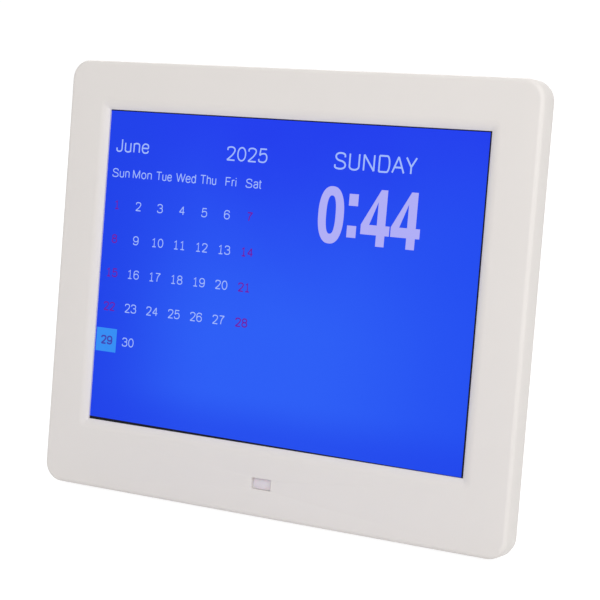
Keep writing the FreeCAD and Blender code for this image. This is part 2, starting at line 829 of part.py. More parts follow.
def make_ribbons():
    """Flat cables: from the glass round the tray to the main board, and between the two boards."""
    half = "ribbon_width / 2"
    across = (f"-{half}", half)
    low = "ribbon_low"
    front = "(glass_front + film_front) / 2"
    rear = "lcd_rear + free_gap"
    rise = "board_bottom + ribbon_reach"
    end = "board_depth - connector_depth / 2"
    runs = [
        block(across, (low, "glass_low"), (front, f"{front} + ribbon_thickness")),
        block(across, (low, f"{low} + ribbon_thickness"), (front, f"{rear} + ribbon_thickness")),
        block(across, (low, rise), (rear, f"{rear} + ribbon_thickness")),
        block(across, (f"{rise} - ribbon_thickness", rise), (rear, f"{end} + ribbon_thickness")),
        block(across, (f"{rise} - ribbon_thickness", f"{rise} + ribbon_tail"), (end, f"{end} + ribbon_thickness")),
    ]
    assemble("lcd_flex", union(*runs))
    connector = block(
        (f"-{half} - connector_margin", f"{half} + connector_margin"),
        (f"{rise} + ribbon_tail", f"{rise} + ribbon_tail + connector_tall"),
        ("board_depth - connector_depth", "board_depth"),
    )
    assemble("flex_connector", connector)

    over = "key_screw_inset"
    strip = block(
        ("-button_pitch", "button_pitch"),
        (f"board_top - {over}", f"button_height - key_board_height / 2 + {over}"),
        ("board_depth - ribbon_thickness", "board_depth"),
    )
    drop = block(
        ("-button_pitch", "button_pitch"),
        (f"button_height - key_board_height / 2 + {over} - ribbon_thickness",
         f"button_height - key_board_height / 2 + {over}"),
        ("board_depth - ribbon_thickness", "key_board_front"),
    )
    assemble("key_ribbon", union(strip, drop))


def make_clamps():
    """Pressed plates on the side bosses that hold the display module in the front shell."""
    plates = []
    for side, (x, y) in zip((-1, -1, 1, 1), CLAMPS):
        reach = f"{x} + ({side}) * (clamp_length / 2 - case_boss_radius)"
        plate = centred(reach, y, "clamp_length", "clamp_width", ("lcd_rear", "clamp_rear"))
        plates.append(difference(plate, stud("small_screw_shank + slip", x, y, ("lcd_rear - 1", "clamp_rear + 1"))))
    assemble("lcd_clamps", *plates)


def screw(head, head_height, shank, length, seat, head_behind=True):
    """A cross-recessed screw about the origin; seat is the depth of the face under its head."""
    way = 1 if head_behind else -1
    top = f"{seat} + ({way}) * {head_height}"
    end = f"{seat} - ({way}) * {length}"
    head_depths = (seat, top) if head_behind else (top, seat)
    shank_depths = (end, seat) if head_behind else (seat, end)
    whole = union(stud(head, "0", "0", head_depths), stud(shank, "0", "0", shank_depths))
    floor = f"{seat} + ({way}) * {head_height} * 0.4"
    recess = (floor, f"{top} + 1") if head_behind else (f"{top} - 1", floor)
    flat = centred("0", "0", f"1.2 * {head}", f"0.3 * {head}", recess)
    upright = centred("0", "0", f"0.3 * {head}", f"1.2 * {head}", recess)
    return difference(whole, flat, upright)


def make_screws():
    """Screws of the casing, the display clamps and the three boards."""
    small = ("small_screw_head", "small_head_height", "small_screw_shank", "small_screw_length")
    case_screw = screw(
        "case_screw_head", "screw_head_height", "case_screw_shank", "screw_length", "case_screw_seat",
    )
    assemble("case_screws", *copies(case_screw, CASE_SCREWS))
    assemble("clamp_screws", *copies(screw(*small, "clamp_rear"), CLAMPS))
    assemble("board_screws", *copies(screw(*small, "board_depth", head_behind=False), BOARD_SCREWS))
    key_screw = screw(*small, "key_board_front", head_behind=False)
    assemble("key_board_screws", *copies(key_screw, KEY_SCREWS))
    receiver_screw = screw(*small, "receiver_board_rear")
    assemble("receiver_screws", *copies(receiver_screw, RECEIVER_SCREWS))


def make_receiver():
    """Infrared receiver behind the window, on its own small board."""
    body = centred(
        "window_centre", "window_height", "receiver_width", "receiver_tall", ("receiver_front", "receiver_rear"),
    )
    dome = DOCUMENT.addObject("Part::Sphere", "dome")
    bind(dome, Radius="receiver_dome")
    bind(
        dome,
        Placement__Base__x="window_centre",
        Placement__Base__y="window_height",
        Placement__Base__z="-(receiver_front + receiver_dome - receiver_gap / 2)",
    )
    assemble("ir_receiver", union(body, dome))
    plate = centred(
        "window_centre", "window_height", "receiver_board_width", "2 * receiver_board_half",
        ("receiver_rear", "receiver_board_rear"),
    )
    holes = [
        stud("small_screw_shank + slip", x, y, ("receiver_rear - 1", "receiver_board_rear + 1"))
        for x, y in RECEIVER_SCREWS
    ]
    assemble("ir_board", difference(plate, *holes))


def make_main_board():
    """Main board with its chips, crystal, capacitors and coin cell."""
    plate = block(("-board_left", "board_right"), ("board_bottom", "board_top"), ("board_depth", "board_rear"))
    holes = [
        stud("small_screw_shank + slip", x, y, ("board_depth - 1", "board_rear + 1")) for x, y in BOARD_SCREWS
    ]
    assemble("main_board", difference(plate, *holes))

    front = ("board_depth - chip_thickness", "board_depth")
    middle_x = "(board_right - board_left) / 2"
    middle_y = "(board_bottom + board_top) / 2"
    assemble("processor_chip", centred(middle_x, middle_y, "processor_size", "processor_size", front))
    memory = [
        centred(f"{middle_x} + processor_size / 2 + memory_width",
                f"{middle_y} {way} (memory_length + memory_spacing) / 2",
                "memory_width", "memory_length", front)
        for way in ("-", "+")
    ]
    assemble("memory_chips", *memory)
    crystal_x = f"{middle_x} - processor_size / 2 - crystal_length / 2 - chip_gap"
    can = centred(crystal_x, middle_y, "crystal_length", "crystal_width",
                  ("board_depth - crystal_height", "board_depth"))
    assemble("crystal", can)
    first = "-board_left + inlet_length + chip_gap + capacitor_radius"
    capacitors = [
        stud("capacitor_radius", f"{first} + {index} * capacitor_pitch", "inlet_height",
             ("board_rear", "board_rear + capacitor_height"))
        for index in range(2)
    ]
    assemble("capacitors", *capacitors)

    coin_x = "-recess_half - cover_wall - chip_gap - coin_radius - coin_holder_wall"
    coin_y = "usb_height"
    holder_rear = "board_rear + coin_holder_wall + coin_thickness"
    cup = stud("coin_radius + coin_holder_wall", coin_x, coin_y, ("board_rear", holder_rear))
    hollow = stud("coin_radius + slip", coin_x, coin_y, ("board_rear + coin_holder_wall", f"{holder_rear} + 1"))
    assemble("coin_cell_holder", difference(cup, hollow))
    cell = stud("coin_radius", coin_x, coin_y, ("board_rear + coin_holder_wall", holder_rear))
    assemble("coin_cell", cell)


def make_sockets():
    """Power inlet, USB socket and card socket, with their mouths in the left wall of the hump."""
    mouth = "-hump_wall_inside + free_gap"
    tall = "board_rear + inlet_tall"
    axis = "board_rear + inlet_tall / 2"
    shell = block((mouth, f"{mouth} + inlet_length"),
                  ("inlet_height - inlet_width / 2", "inlet_height + inlet_width / 2"), ("board_rear", tall))
    bore = axle("inlet_bore", (f"{mouth} - 1", f"{mouth} + inlet_bore_depth"), "inlet_height", axis)
    assemble("dc_jack", difference(shell, bore))
    pin = axle("inlet_pin", (f"{mouth} + inlet_pin_setback", f"{mouth} + inlet_bore_depth"), "inlet_height", axis)
    assemble("dc_jack_pin", pin)

    sides = ("usb_height - usb_width / 2", "usb_height + usb_width / 2")
    can = block((mouth, f"{mouth} + usb_length"), sides, ("board_rear", "board_rear + usb_tall"))
    room = block(
        (f"{mouth} - 1", f"{mouth} + usb_length - usb_shell"),
        ("usb_height - usb_width / 2 + usb_shell", "usb_height + usb_width / 2 - usb_shell"),
        ("board_rear + usb_shell", "board_rear + usb_tall - usb_shell"),
    )
    assemble("usb_port", difference(can, room))
    tongue = block(
        (f"{mouth} + usb_tongue_setback", f"{mouth} + usb_length - usb_shell"),
        ("usb_height - usb_width / 2 + usb_tongue_inset", "usb_height + usb_width / 2 - usb_tongue_inset"),
        ("board_rear + usb_tongue_lift", "board_rear + usb_tongue_lift + usb_tongue_tall"),
    )
    assemble("usb_tongue", tongue)

    case = block(
        (mouth, f"{mouth} + card_length"),
        ("card_height - card_width / 2", "card_height + card_width / 2"),
        ("board_rear", "board_rear + card_tall"),
    )
    gap = block(
        (f"{mouth} - 1", f"{mouth} + card_length - card_end_wall"),
        ("card_height - card_width / 2 + card_side_wall", "card_height + card_width / 2 - card_side_wall"),
        ("board_rear + (card_tall - card_slot) / 2", "board_rear + (card_tall + card_slot) / 2"),
    )
    assemble("sd_socket", difference(case, gap))


def make_speaker():
    """Loudspeaker behind the grille: basket, cone and magnet, with a cloth disc over the holes."""
    x = "speaker_centre"
    y = "speaker_height"
    basket = stud("speaker_radius", x, y, ("speaker_front", "cloth_front"))
    hollow = DOCUMENT.addObject("Part::Cone", "hollow")
    bind(hollow, Radius1="speaker_radius - speaker_rim", Radius2="voice_coil", Height="speaker_depth - speaker_floor")
    bind(hollow, Placement__Base__x=x, Placement__Base__y=y, Placement__Base__z="-cloth_front")
    assemble("speaker_frame", difference(basket, hollow))

    outer = DOCUMENT.addObject("Part::Cone", "outer")
    inner = DOCUMENT.addObject("Part::Cone", "inner")
    for surface, drop in ((outer, "0"), (inner, "cone_thickness")):
        bind(
            surface,
            Radius1="speaker_radius - speaker_rim - 2 * free_gap",
            Radius2="voice_coil - free_gap",
            Height="cone_depth",
        )
        bind(surface, Placement__Base__x=x, Placement__Base__y=y, Placement__Base__z=f"-cloth_front - {drop}")
    assemble("speaker_cone", difference(outer, inner))
    assemble("speaker_magnet", stud("magnet_radius", x, y, ("magnet_front", "speaker_front")))
    assemble("speaker_cloth", stud("speaker_radius", x, y, ("cloth_front", "hump_inside")))


def make_wires():
    """Thin wires of the loudspeaker and the infrared receiver, each bent once or twice."""
    def tube(points, radius, bend):
        """A round tube along straight runs, whose square corners are tangent arcs."""
        edges = []
        start = points[0]
        for before, corner, after in zip(points, points[1:], points[2:]):
            toward = (before - corner).normalize()
            away = (after - corner).normalize()
            into = corner + toward * bend
            out = corner + away * bend
            middle = corner + (toward + away).normalize() * (bend * (2 ** 0.5 - 1))
            edges.append(Part.LineSegment(start, into).toShape())
            edges.append(Part.Arc(into, middle, out).toShape())
            start = out
        edges.append(Part.LineSegment(start, points[-1]).toShape())
        path = Part.Wire(edges)
        ring = Part.Wire([Part.Circle(points[0], points[1] - points[0], radius).toShape()])
        return path.makePipeShell([ring], True, False)

    radius = value("wire_radius")
    pitch = value("wire_pitch")
    landing = value("wire_landing")
    pairs = []
    for index in range(2):
        low = value("speaker_height") + index * pitch
        depth = -value("(magnet_front + speaker_front) / 2")
        pairs.append(tube(
            [
                FreeCAD.Vector(value("speaker_centre - magnet_radius + pin_seat"), low, depth),
                FreeCAD.Vector(value("board_right") - landing + index * pitch, low, depth),
                FreeCAD.Vector(value("board_right") - landing + index * pitch, low, -value("board_rear")),
            ],
            radius, value("wire_bend"),
        ))
    speaker_wires = DOCUMENT.addObject("Part::Feature", "speaker_wires")
    speaker_wires.Shape = Part.makeCompound(pairs)
    keep("speaker_wires", speaker_wires)

    triple = []
    for index in (-1, 0, 1):
        across = value("window_centre") + index * pitch
        behind = -value("(receiver_board_rear + wire_radius + plateau_inside) / 2")
        triple.append(tube(
            [
                FreeCAD.Vector(across, value("window_height"), -value("receiver_board_rear")),
                FreeCAD.Vector(across, value("window_height"), behind),
                FreeCAD.Vector(across, value("board_bottom") + landing, behind),
                FreeCAD.Vector(across, value("board_bottom") + landing, -value("board_depth")),
            ],
            radius, value("short_wire_bend"),
        ))
    receiver_wires = DOCUMENT.addObject("Part::Feature", "receiver_wires")
    receiver_wires.Shape = Part.makeCompound(triple)
    keep("receiver_wires", receiver_wires)


def make_buttons():
    """Seven round caps, the switches under them and their board."""
    first = "-button_reach"
    for index, word in enumerate(BUTTONS):
        x = f"{first} + {index} * button_pitch"
        cap = union(
            stud("button_radius", x, "button_height", ("flange_front", "button_outer")),
            stud("button_radius + button_flange", x, "button_height", ("flange_front", "flange_rear")),
            stud("button_stem_radius", x, "button_height", ("stem_front", "flange_front + seam")),
        )
        assemble("button_" + word, cap)

    switches = []
    for index in range(len(BUTTONS)):
        x = f"{first} + {index} * button_pitch"
        switches.append(union(
            centred(x, "button_height", "switch_size", "switch_size", ("key_board_rear", "switch_rear")),
            stud("switch_nub_radius", x, "button_height", ("switch_rear - seam", "nub_rear")),
        ))
    assemble("tact_switches", *switches)

    plate = centred("0", "button_height", "2 * key_board_half", "key_board_height",
                    ("key_board_front", "key_board_rear"))
    holes = [
        stud("small_screw_shank + slip", x, y, ("key_board_front - 1", "key_board_rear + 1")) for x, y in KEY_SCREWS
    ]
    assemble("button_board", difference(plate, *holes))


def cut_back_openings(body):
    """Openings of the rear wall: buttons, keyholes, sound holes and vents."""
    before_wall = "-hump_inside + 1"
    strip = sketch(body, offset="-(rear_depth - button_strip_depth)")
    rounded(
        strip,
        ("-button_reach - button_strip_height / 2", "button_reach + button_strip_height / 2"),
        ("button_height - button_strip_height / 2", "button_height + button_strip_height / 2"),
        "button_strip_height / 3",
    )
    pocket(body, strip)
    hole = sketch(body, offset=before_wall)
    circle(hole, "-button_reach", "button_height", "button_radius + free_gap")
    row_pattern(body, pocket(body, hole), hole, "button_pitch", str(len(BUTTONS)))

    for side in ("-", ""):
        entry = sketch(body, offset=before_wall)
        circle(entry, side + "keyhole_reach", "keyhole_height", "keyhole_radius")
        pocket(body, entry)
        neck = sketch(body, offset=before_wall)
        slot(neck, side + "keyhole_reach", ("keyhole_height", "keyhole_height + keyhole_rise"), "keyhole_slot")
        pocket(body, neck)

    for ring, count in ((0, 1), (1, 6), (2, 12)):
        holes = sketch(body, offset=before_wall)
        bind(holes, AttachmentOffset__Base__x="speaker_centre", AttachmentOffset__Base__y="speaker_height")
        circle(holes, f"{ring} * sound_ring", "0", "sound_hole")
        made = pocket(body, holes)
        if count > 1:
            ring_pattern(body, made, holes, count)

    vent = sketch(body, offset=before_wall)
    slot(
        vent,
        "-vent_centre - (vent_count - 1) / 2 * vent_pitch",
        ("speaker_height - vent_length / 2", "speaker_height + vent_length / 2"),
        "vent_width / 2",
    )
    row_pattern(body, pocket(body, vent), vent, "vent_pitch", "vent_count")


def cut_side_openings(body):
    """Openings of the hump's left wall for the power plug, the USB plug and the card."""
    ports = sketch(body, plane="YZ_Plane", offset="-hump_wall_inside + 1")
    circle(ports, "inlet_height", "-(board_rear + inlet_tall / 2)", "inlet_hole")
    rectangle(
        ports,
        ("usb_height - usb_width / 2 - port_margin", "usb_height + usb_width / 2 + port_margin"),
        ("-(board_rear + usb_tall + port_margin)", "-(board_rear - port_margin)"),
    )
    rectangle(
        ports,
        ("card_height - card_width / 2", "card_height + card_width / 2"),
        ("-(board_rear + card_tall + port_margin / 2)", "-(board_rear - port_margin / 2)"),
    )
    pocket(body, ports)


def make_back_cover():
    """Back shell: bevelled rim, central hump, leg recess, posts, and openings."""
    body = DOCUMENT.addObject("PartDesign::Body", "back_cover")
    outline = sketch(body, offset="-bezel_depth")
    rounded(
        outline,
        ("-half_width + cover_step", "half_width - cover_step"),
        ("cover_step", "case_height - cover_step"),
        "corner_radius - cover_step",
    )
    base = pad(body, outline, "flank_depth")
    dress(body, "Chamfer", base, edges_at(base, "plateau_depth"), Size="flank_chamfer")
    hump = sketch(body, offset="-plateau_inside")
    rounded(hump, ("-hump_half", "hump_half"), ("hump_bottom", "hump_top"), "hump_corner")
    block_out = pad(body, hump, "hump_depth + cover_wall")
    dress(body, "Fillet", block_out, edges_at(block_out, "rear_depth"), Radius="hump_edge")

    shallow = sketch(body, offset="-bezel_depth")
    rounded(
        shallow,
        ("-half_width + cover_inset", "half_width - cover_inset"),
        ("cover_inset", "case_height - cover_inset"),
        "corner_radius - side_wall",
    )
    pocket(body, shallow, "flank_depth - cover_wall")
    deep = sketch(body, offset="-bezel_depth")
    rounded(
        deep,
        ("-hump_wall_inside", "hump_wall_inside"),
        ("hump_bottom + cover_wall", "hump_top - cover_wall"),
        "hump_corner - cover_wall",
    )
    pocket(body, deep, "hump_inside - bezel_depth")

    trough = sketch(body, offset="-recess_back")
    rectangle(
        trough,
        ("-recess_half - cover_wall", "recess_half + cover_wall"),
        ("hump_bottom + cover_wall / 2", "recess_top + cover_wall"),
    )
    pad(body, trough, "hump_inside + cover_wall / 2 - recess_back")
    recess = sketch(body, offset="-recess_floor")
    rectangle(recess, ("-recess_half", "recess_half"), ("0", "recess_top"))
    pocket(body, recess)
    pin_hole = sketch(body, plane="YZ_Plane")
    circle(pin_hole, "hinge_height", "-hinge_depth", "pin_radius + pin_seat")
    pocket(body, pin_hole, "2 * (recess_half + cover_wall) + 1", both_ways=True)

    for places, radius, start, pilot in (
        (BOARD_SCREWS, "board_post_radius", "board_rear", "small_screw_shank + pin_seat"),
        (KEY_SCREWS, "board_post_radius", "key_board_rear", "small_screw_shank + pin_seat"),
    ):
        posts = sketch(body, offset=f"-({start})")
        for x, y in places:
            circle(posts, x, y, radius)
        pad(body, posts, f"hump_inside + cover_wall / 2 - ({start})")
        pilots = sketch(body, offset=f"-({start})")
        for x, y in places:
            circle(pilots, x, y, pilot)
        pocket(body, pilots, f"hump_inside - ({start})")
    posts = sketch(body, offset="-bezel_depth")
    for x, y in CASE_SCREWS:
        circle(posts, x, y, "case_post_radius")
    pad(body, posts, "flank_depth - cover_wall / 2")
    shanks = sketch(body, offset="-bezel_depth + 1")
    for x, y in CASE_SCREWS:
        circle(shanks, x, y, "case_shank_hole")
    pocket(body, shanks)
    heads = sketch(body, offset="-case_screw_seat")
    for x, y in CASE_SCREWS:
        circle(heads, x, y, "case_head_hole")
    pocket(body, heads)

    seat = sketch(body, offset="-(hump_inside - speaker_seat_depth)")
    circle(seat, "speaker_centre", "speaker_height", "speaker_radius + slip")
    circle(seat, "speaker_centre", "speaker_height", "speaker_radius + slip + speaker_seat_wall")
    pad(body, seat, "speaker_seat_depth + cover_wall / 2")

    tabs = sketch(body, offset="-(bezel_depth - locating_reach)")
    low = "cover_inset - locating_wall"
    for side in ("-", ""):
        across = f"{side}locating_spread / 2"
        rectangle(
            tabs,
            (f"{across} - locating_length / 2", f"{across} + locating_length / 2"),
            (low, "cover_inset"),
        )
        rectangle(
            tabs,
            (f"{across} - locating_length / 2", f"{across} + locating_length / 2"),
            ("case_height - cover_inset", f"case_height - ({low})"),
        )
        up = f"case_height / 2 + ({across})"
        for edge in (("half_width - cover_inset", f"half_width - ({low})"),
                     (f"-half_width + ({low})", "-half_width + cover_inset")):
            rectangle(tabs, edge, (f"{up} - locating_length / 2", f"{up} + locating_length / 2"))
    pad(body, tabs, "locating_reach + cover_wall / 2")

    cut_back_openings(body)
    cut_side_openings(body)
    keep("back_cover", body)


def make_leg():
    """Fold-out leg, drawn about its hinge in the folded pose: barrel, heel, ribbed plate and rubber tip."""
    body = DOCUMENT.addObject("PartDesign::Body", "stand_leg")
    profile = sketch(body, plane="YZ_Plane")
    polygon(profile, [
        ("leg_end", "-leg_outer"),
        ("heel_tip", "-leg_outer"),
        ("heel_length * cos(leg_opening) + barrel_radius * sin(leg_opening)",
         "barrel_radius * cos(leg_opening) - heel_length * sin(leg_opening)"),
        ("barrel_radius * sin(leg_opening)", "barrel_radius * cos(leg_opening)"),
        ("0", "leg_inner"),
        ("leg_end", "leg_inner"),
    ])
    pad(body, profile, "leg_width", both_ways=True)
    barrel = sketch(body, plane="YZ_Plane")
    circle(barrel, "0", "0", "barrel_radius")
    pad(body, barrel, "leg_width", both_ways=True)
    bore = sketch(body, plane="YZ_Plane")
    circle(bore, "0", "0", "pin_radius + pin_slip")
    pocket(body, bore, "leg_width + 2", both_ways=True)

    step = "(leg_pocket_length + leg_rib)"
    for index in range(int(value("leg_pocket_count"))):
        start = f"-leg_pocket_start - {index} * {step}"
        hollow = sketch(body, offset="leg_inner")
        rectangle(
            hollow,
            ("-leg_width / 2 + leg_rib", "leg_width / 2 - leg_rib"),
            (f"{start} - leg_pocket_length", start),
        )
        pocket(body, hollow, "leg_inner + leg_outer - leg_skin")
    keep("stand_leg", body, swing_out)

    boot = DOCUMENT.addObject("PartDesign::Body", "leg_tip")
    section = sketch(boot, plane="YZ_Plane")
    polygon(section, [
        ("leg_end", "-tip_outer"),
        ("leg_end", "tip_inner"),
        ("sole_inner", "tip_inner"),
        ("sole_outer", "-tip_outer"),
    ])
    pad(boot, section, "leg_width - 2 * tip_inset", both_ways=True)
    keep("leg_tip", boot, swing_out)

    assemble("hinge_pin", axle("pin_radius", ("-recess_half - cover_wall", "recess_half + cover_wall"),
                               "hinge_height", "hinge_depth"))


def make_feet():
    """Two rubber feet under the rear of the lower edge, with soles cut level for the lean."""
    def sole(depth):
        """Height of the floor at a depth, up the casing."""
        return f"(floor_level + {depth} * sin(lean_angle)) / cos(lean_angle)"

    feet = []
    for side in ("-", ""):
        outline = DOCUMENT.addObject("Sketcher::SketchObject", "foot_outline")
        turn = FreeCAD.Rotation(FreeCAD.Vector(1, 1, 1), 120)
        outline.Placement = FreeCAD.Placement(FreeCAD.Vector(), turn)
        polygon(outline, [
            ("foot_seat", "-foot_front"),
            ("foot_seat", "-foot_rear"),
            (sole("foot_rear"), "-foot_rear"),
            (sole("foot_front"), "-foot_front"),
        ])
        bind(outline, Placement__Base__x=f"{side}foot_spacing / 2")
        foot = DOCUMENT.addObject("Part::Extrusion", "foot")
        foot.Base = outline
        foot.DirMode = "Normal"
        foot.Solid = True
        foot.Symmetric = True
        bind(foot, LengthFwd="foot_width - 2 * seam")
        feet.append(foot)
    assemble("rubber_feet", *feet)


def check_document():
    """Stop on any object that failed to build."""
    DOCUMENT.recompute()
    failed = [
        f"{thing.Label} {thing.State}" for thing in DOCUMENT.Objects
        if "Invalid" in thing.State or "Error" in thing.State
    ]
    for label, thing in NODES.items():
        if thing.Shape.isNull() or not thing.Shape.isValid() or not thing.Shape.Solids:
            failed.append(label + " has no valid solid")
    if failed:
        raise RuntimeError("; ".join(failed))


def write_steps():
    """Write each sub-part as a file of its own."""
    os.makedirs("parts", exist_ok=True)
    for label, thing in NODES.items():
        thing.Shape.exportStep(f"parts/{label}.step")
        box = thing.Shape.BoundBox
        print(f"{label:18} solids {len(thing.Shape.Solids):2}  volume {thing.Shape.Volume:9.1f}  "
              f"y {box.YMin:7.2f} {box.YMax:7.2f}  z {box.ZMin:7.2f} {box.ZMax:7.2f}")


fill_sheet()
make_front_bezel()
make_window()
make_display()
make_ribbons()
make_clamps()
make_screws()
make_receiver()
make_main_board()
make_sockets()
make_speaker()
make_wires()
make_buttons()
make_back_cover()
make_leg()
make_feet()
check_document()
write_steps()
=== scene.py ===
"""Looks of the calendar day clock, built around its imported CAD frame."""

import json
import logging
import math
from dataclasses import dataclass
from enum import Enum

import bmesh
import bpy
import numpy as np
from mathutils import Matrix, Vector


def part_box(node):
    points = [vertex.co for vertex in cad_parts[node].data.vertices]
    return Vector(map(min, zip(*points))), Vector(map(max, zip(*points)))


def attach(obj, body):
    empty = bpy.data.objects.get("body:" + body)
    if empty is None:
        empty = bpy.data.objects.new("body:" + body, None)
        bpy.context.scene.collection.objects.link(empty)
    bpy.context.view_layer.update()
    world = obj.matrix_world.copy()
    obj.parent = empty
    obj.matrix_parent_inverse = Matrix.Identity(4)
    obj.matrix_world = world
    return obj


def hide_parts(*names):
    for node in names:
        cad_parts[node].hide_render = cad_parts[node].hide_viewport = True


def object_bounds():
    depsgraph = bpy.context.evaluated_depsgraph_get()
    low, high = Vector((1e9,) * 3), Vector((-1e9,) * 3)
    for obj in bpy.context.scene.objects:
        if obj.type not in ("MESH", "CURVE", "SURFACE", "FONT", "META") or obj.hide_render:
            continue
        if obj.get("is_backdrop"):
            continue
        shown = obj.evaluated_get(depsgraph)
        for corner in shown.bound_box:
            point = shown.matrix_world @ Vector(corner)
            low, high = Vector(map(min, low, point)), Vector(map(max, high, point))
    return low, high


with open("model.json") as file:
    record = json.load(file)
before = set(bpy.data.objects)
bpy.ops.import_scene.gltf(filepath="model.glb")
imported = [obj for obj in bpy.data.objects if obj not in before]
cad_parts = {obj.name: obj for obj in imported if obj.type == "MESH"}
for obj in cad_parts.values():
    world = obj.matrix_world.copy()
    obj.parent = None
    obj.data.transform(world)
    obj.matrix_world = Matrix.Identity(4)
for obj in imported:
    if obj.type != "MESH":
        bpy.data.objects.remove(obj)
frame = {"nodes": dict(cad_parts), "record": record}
CAD_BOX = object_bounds()
NODES = frame["nodes"]
SLOTS = {row["node"]: row["material_slot"] for row in frame["record"]["subparts"]}
MM = 0.001
LOG = logging.getLogger("day_clock")
SHARP = math.radians(32)  # an edge sharper than this is a real edge

Array = np.ndarray
Piece = bpy.types.Object
Pair = tuple[float, float]
Triple = tuple[float, float, float]
Colour = Triple
Box = tuple[float, float, float, float]  # left, right, low and high


# The casing's own directions


@dataclass(frozen=True)
class Lean:
    """Place of the casing over the floor: x to the right, up the face, depth back from it, in mm."""

    angle: float = math.radians(9.0)
    back: float = -27.1502
    lift: float = 1.9079

    def place(self, x: Array, up: Array, depth: Array) -> Array:
        """World points of the casing: y = up sin a + depth cos a + back, z = up cos a - depth sin a + lift.

        Args:
            x: Distances to the right, in mm.
            up: Distances up the face from the casing's lower edge, in mm.
            depth: Distances back from the front face, in mm.

        Returns:
            Points in metres, with the three coordinates last.
        """
        x, up, depth = np.broadcast_arrays(*(np.asarray(part, float) for part in (x, up, depth)))
        sine, cosine = math.sin(self.angle), math.cos(self.angle)
        back = up * sine + depth * cosine + self.back
        rise = up * cosine - depth * sine + self.lift
        return np.stack([x, back, rise], axis=-1) * MM

    def locate(self, point: Vector) -> Triple:
        """The x, up and depth, in mm, of a world point."""
        back, rise = point.y / MM - self.back, point.z / MM - self.lift
        sine, cosine = math.sin(self.angle), math.cos(self.angle)
        return point.x / MM, back * sine + rise * cosine, back * cosine - rise * sine

    def middle(self, node: str) -> Triple:
        """The x, up and depth, in mm, of the middle of a CAD node."""
        low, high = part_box(node)
        return self.locate((low + high) / 2)


LEAN = Lean()


# Meshes


def grid_mesh(name: str, points: Array, wrap_rows: bool = False, wrap_columns: bool = True,
              flip: bool = False) -> Piece:
    """Join a grid of points into one skin of four-sided faces.

    Face (i, j) joins points (i, j), (i, j + 1), (i + 1, j + 1) and (i + 1, j).

    Args:
        name: Name of the piece.
        points: Points in metres, rows by columns by three.
        wrap_rows: Whether the last row joins the first.
        wrap_columns: Whether the last column joins the first.
        flip: Whether the faces turn the other way.

    Returns:
        The new object, with doubled points merged.
    """
    rows, columns = points.shape[:2]
    index = np.arange(rows * columns).reshape(rows, columns)
    if wrap_rows:
        index = np.vstack([index, index[:1]])
    if wrap_columns:
        index = np.hstack([index, index[:, :1]])
    faces = np.stack([index[:-1, :-1], index[:-1, 1:], index[1:, 1:], index[1:, :-1]], axis=-1).reshape(-1, 4)
    if flip:
        faces = faces[:, ::-1]
    return solid_mesh(name, points.reshape(-1, 3), faces)


def solid_mesh(name: str, points: Array, faces: Array) -> Piece:
    """Make a smooth-shaded object from points and faces, with doubled points merged.

    Args:
        name: Name of the piece.
        points: Points in metres.
        faces: Rows of point numbers, one row a face.

    Returns:
        The new object, at the origin.
    """
    mesh = bpy.data.meshes.new(name)
    mesh.from_pydata(points.tolist(), [], faces.tolist())
    work = bmesh.new()
    work.from_mesh(mesh)
    bmesh.ops.remove_doubles(work, verts=work.verts, dist=1e-7)
    bmesh.ops.dissolve_degenerate(work, edges=work.edges, dist=1e-8)
    work.to_mesh(mesh)
    work.free()
    shade(mesh)
    return link(name, mesh)


def link(name: str, data: bpy.types.ID) -> Piece:
    """Put a mesh, curve, lamp or camera into the scene as an object at the origin."""
    piece = bpy.data.objects.new(name, data)
    bpy.context.scene.collection.objects.link(piece)
    return piece


def aimed(name: str, data: bpy.types.ID, place: Triple, way: Vector) -> Piece:
    """Put a lamp or camera at a place, upright and looking along a line."""
    holder = link(name, data)
    turn = way.to_track_quat("-Z", "Y")
    holder.matrix_world = Matrix.Translation(place) @ turn.to_matrix().to_4x4()
    return holder


def shade(mesh: bpy.types.Mesh) -> None:
    """Shade a mesh smoothly, except over its real edges."""
    mesh.polygons.foreach_set("use_smooth", np.ones(len(mesh.polygons), bool))
    mesh.set_sharp_from_angle(angle=SHARP)
    mesh.update()


def joined(parts: list[tuple[Array, Array]]) -> tuple[Array, Array]:
    """Points and faces of several parts as one, with the faces counted on from part to part."""
    points, faces = zip(*parts)
    starts = np.cumsum([0, *map(len, points[:-1])])
    return np.vstack(points), np.vstack([rows + start for rows, start in zip(faces, starts)])


def rings(half_width: Array, low: Array, high: Array, radius: Array,
          steps: int) -> tuple[Array, Array]:
    """Rounded rectangles about x = 0, one to a row, each walked anticlockwise.

    A corner's points are its centre plus radius times (cos t, sin t), as t runs through a quarter turn.

    Args:
        half_width: Half of each rectangle's width.
        low: Height of each lower side.
        high: Height of each upper side.
        radius: Radius of each rectangle's corners.
        steps: Steps in a corner.

    Returns:
        The x and the up of the points, rows by columns.
    """
    quarter = np.linspace(0, math.pi / 2, steps + 1)
    turn = np.concatenate([quarter + k * math.pi / 2 for k in range(4)])
    side = np.repeat([1, -1, -1, 1], steps + 1)
    top = np.repeat([1, 1, 0, 0], steps + 1)
    half_width, low, high, radius = (part[:, None] for part in (half_width, low, high, radius))
    x = side * (half_width - radius) + radius * np.cos(turn)
    up = np.where(top == 1, high - radius, low + radius) + radius * np.sin(turn)
    return x, up


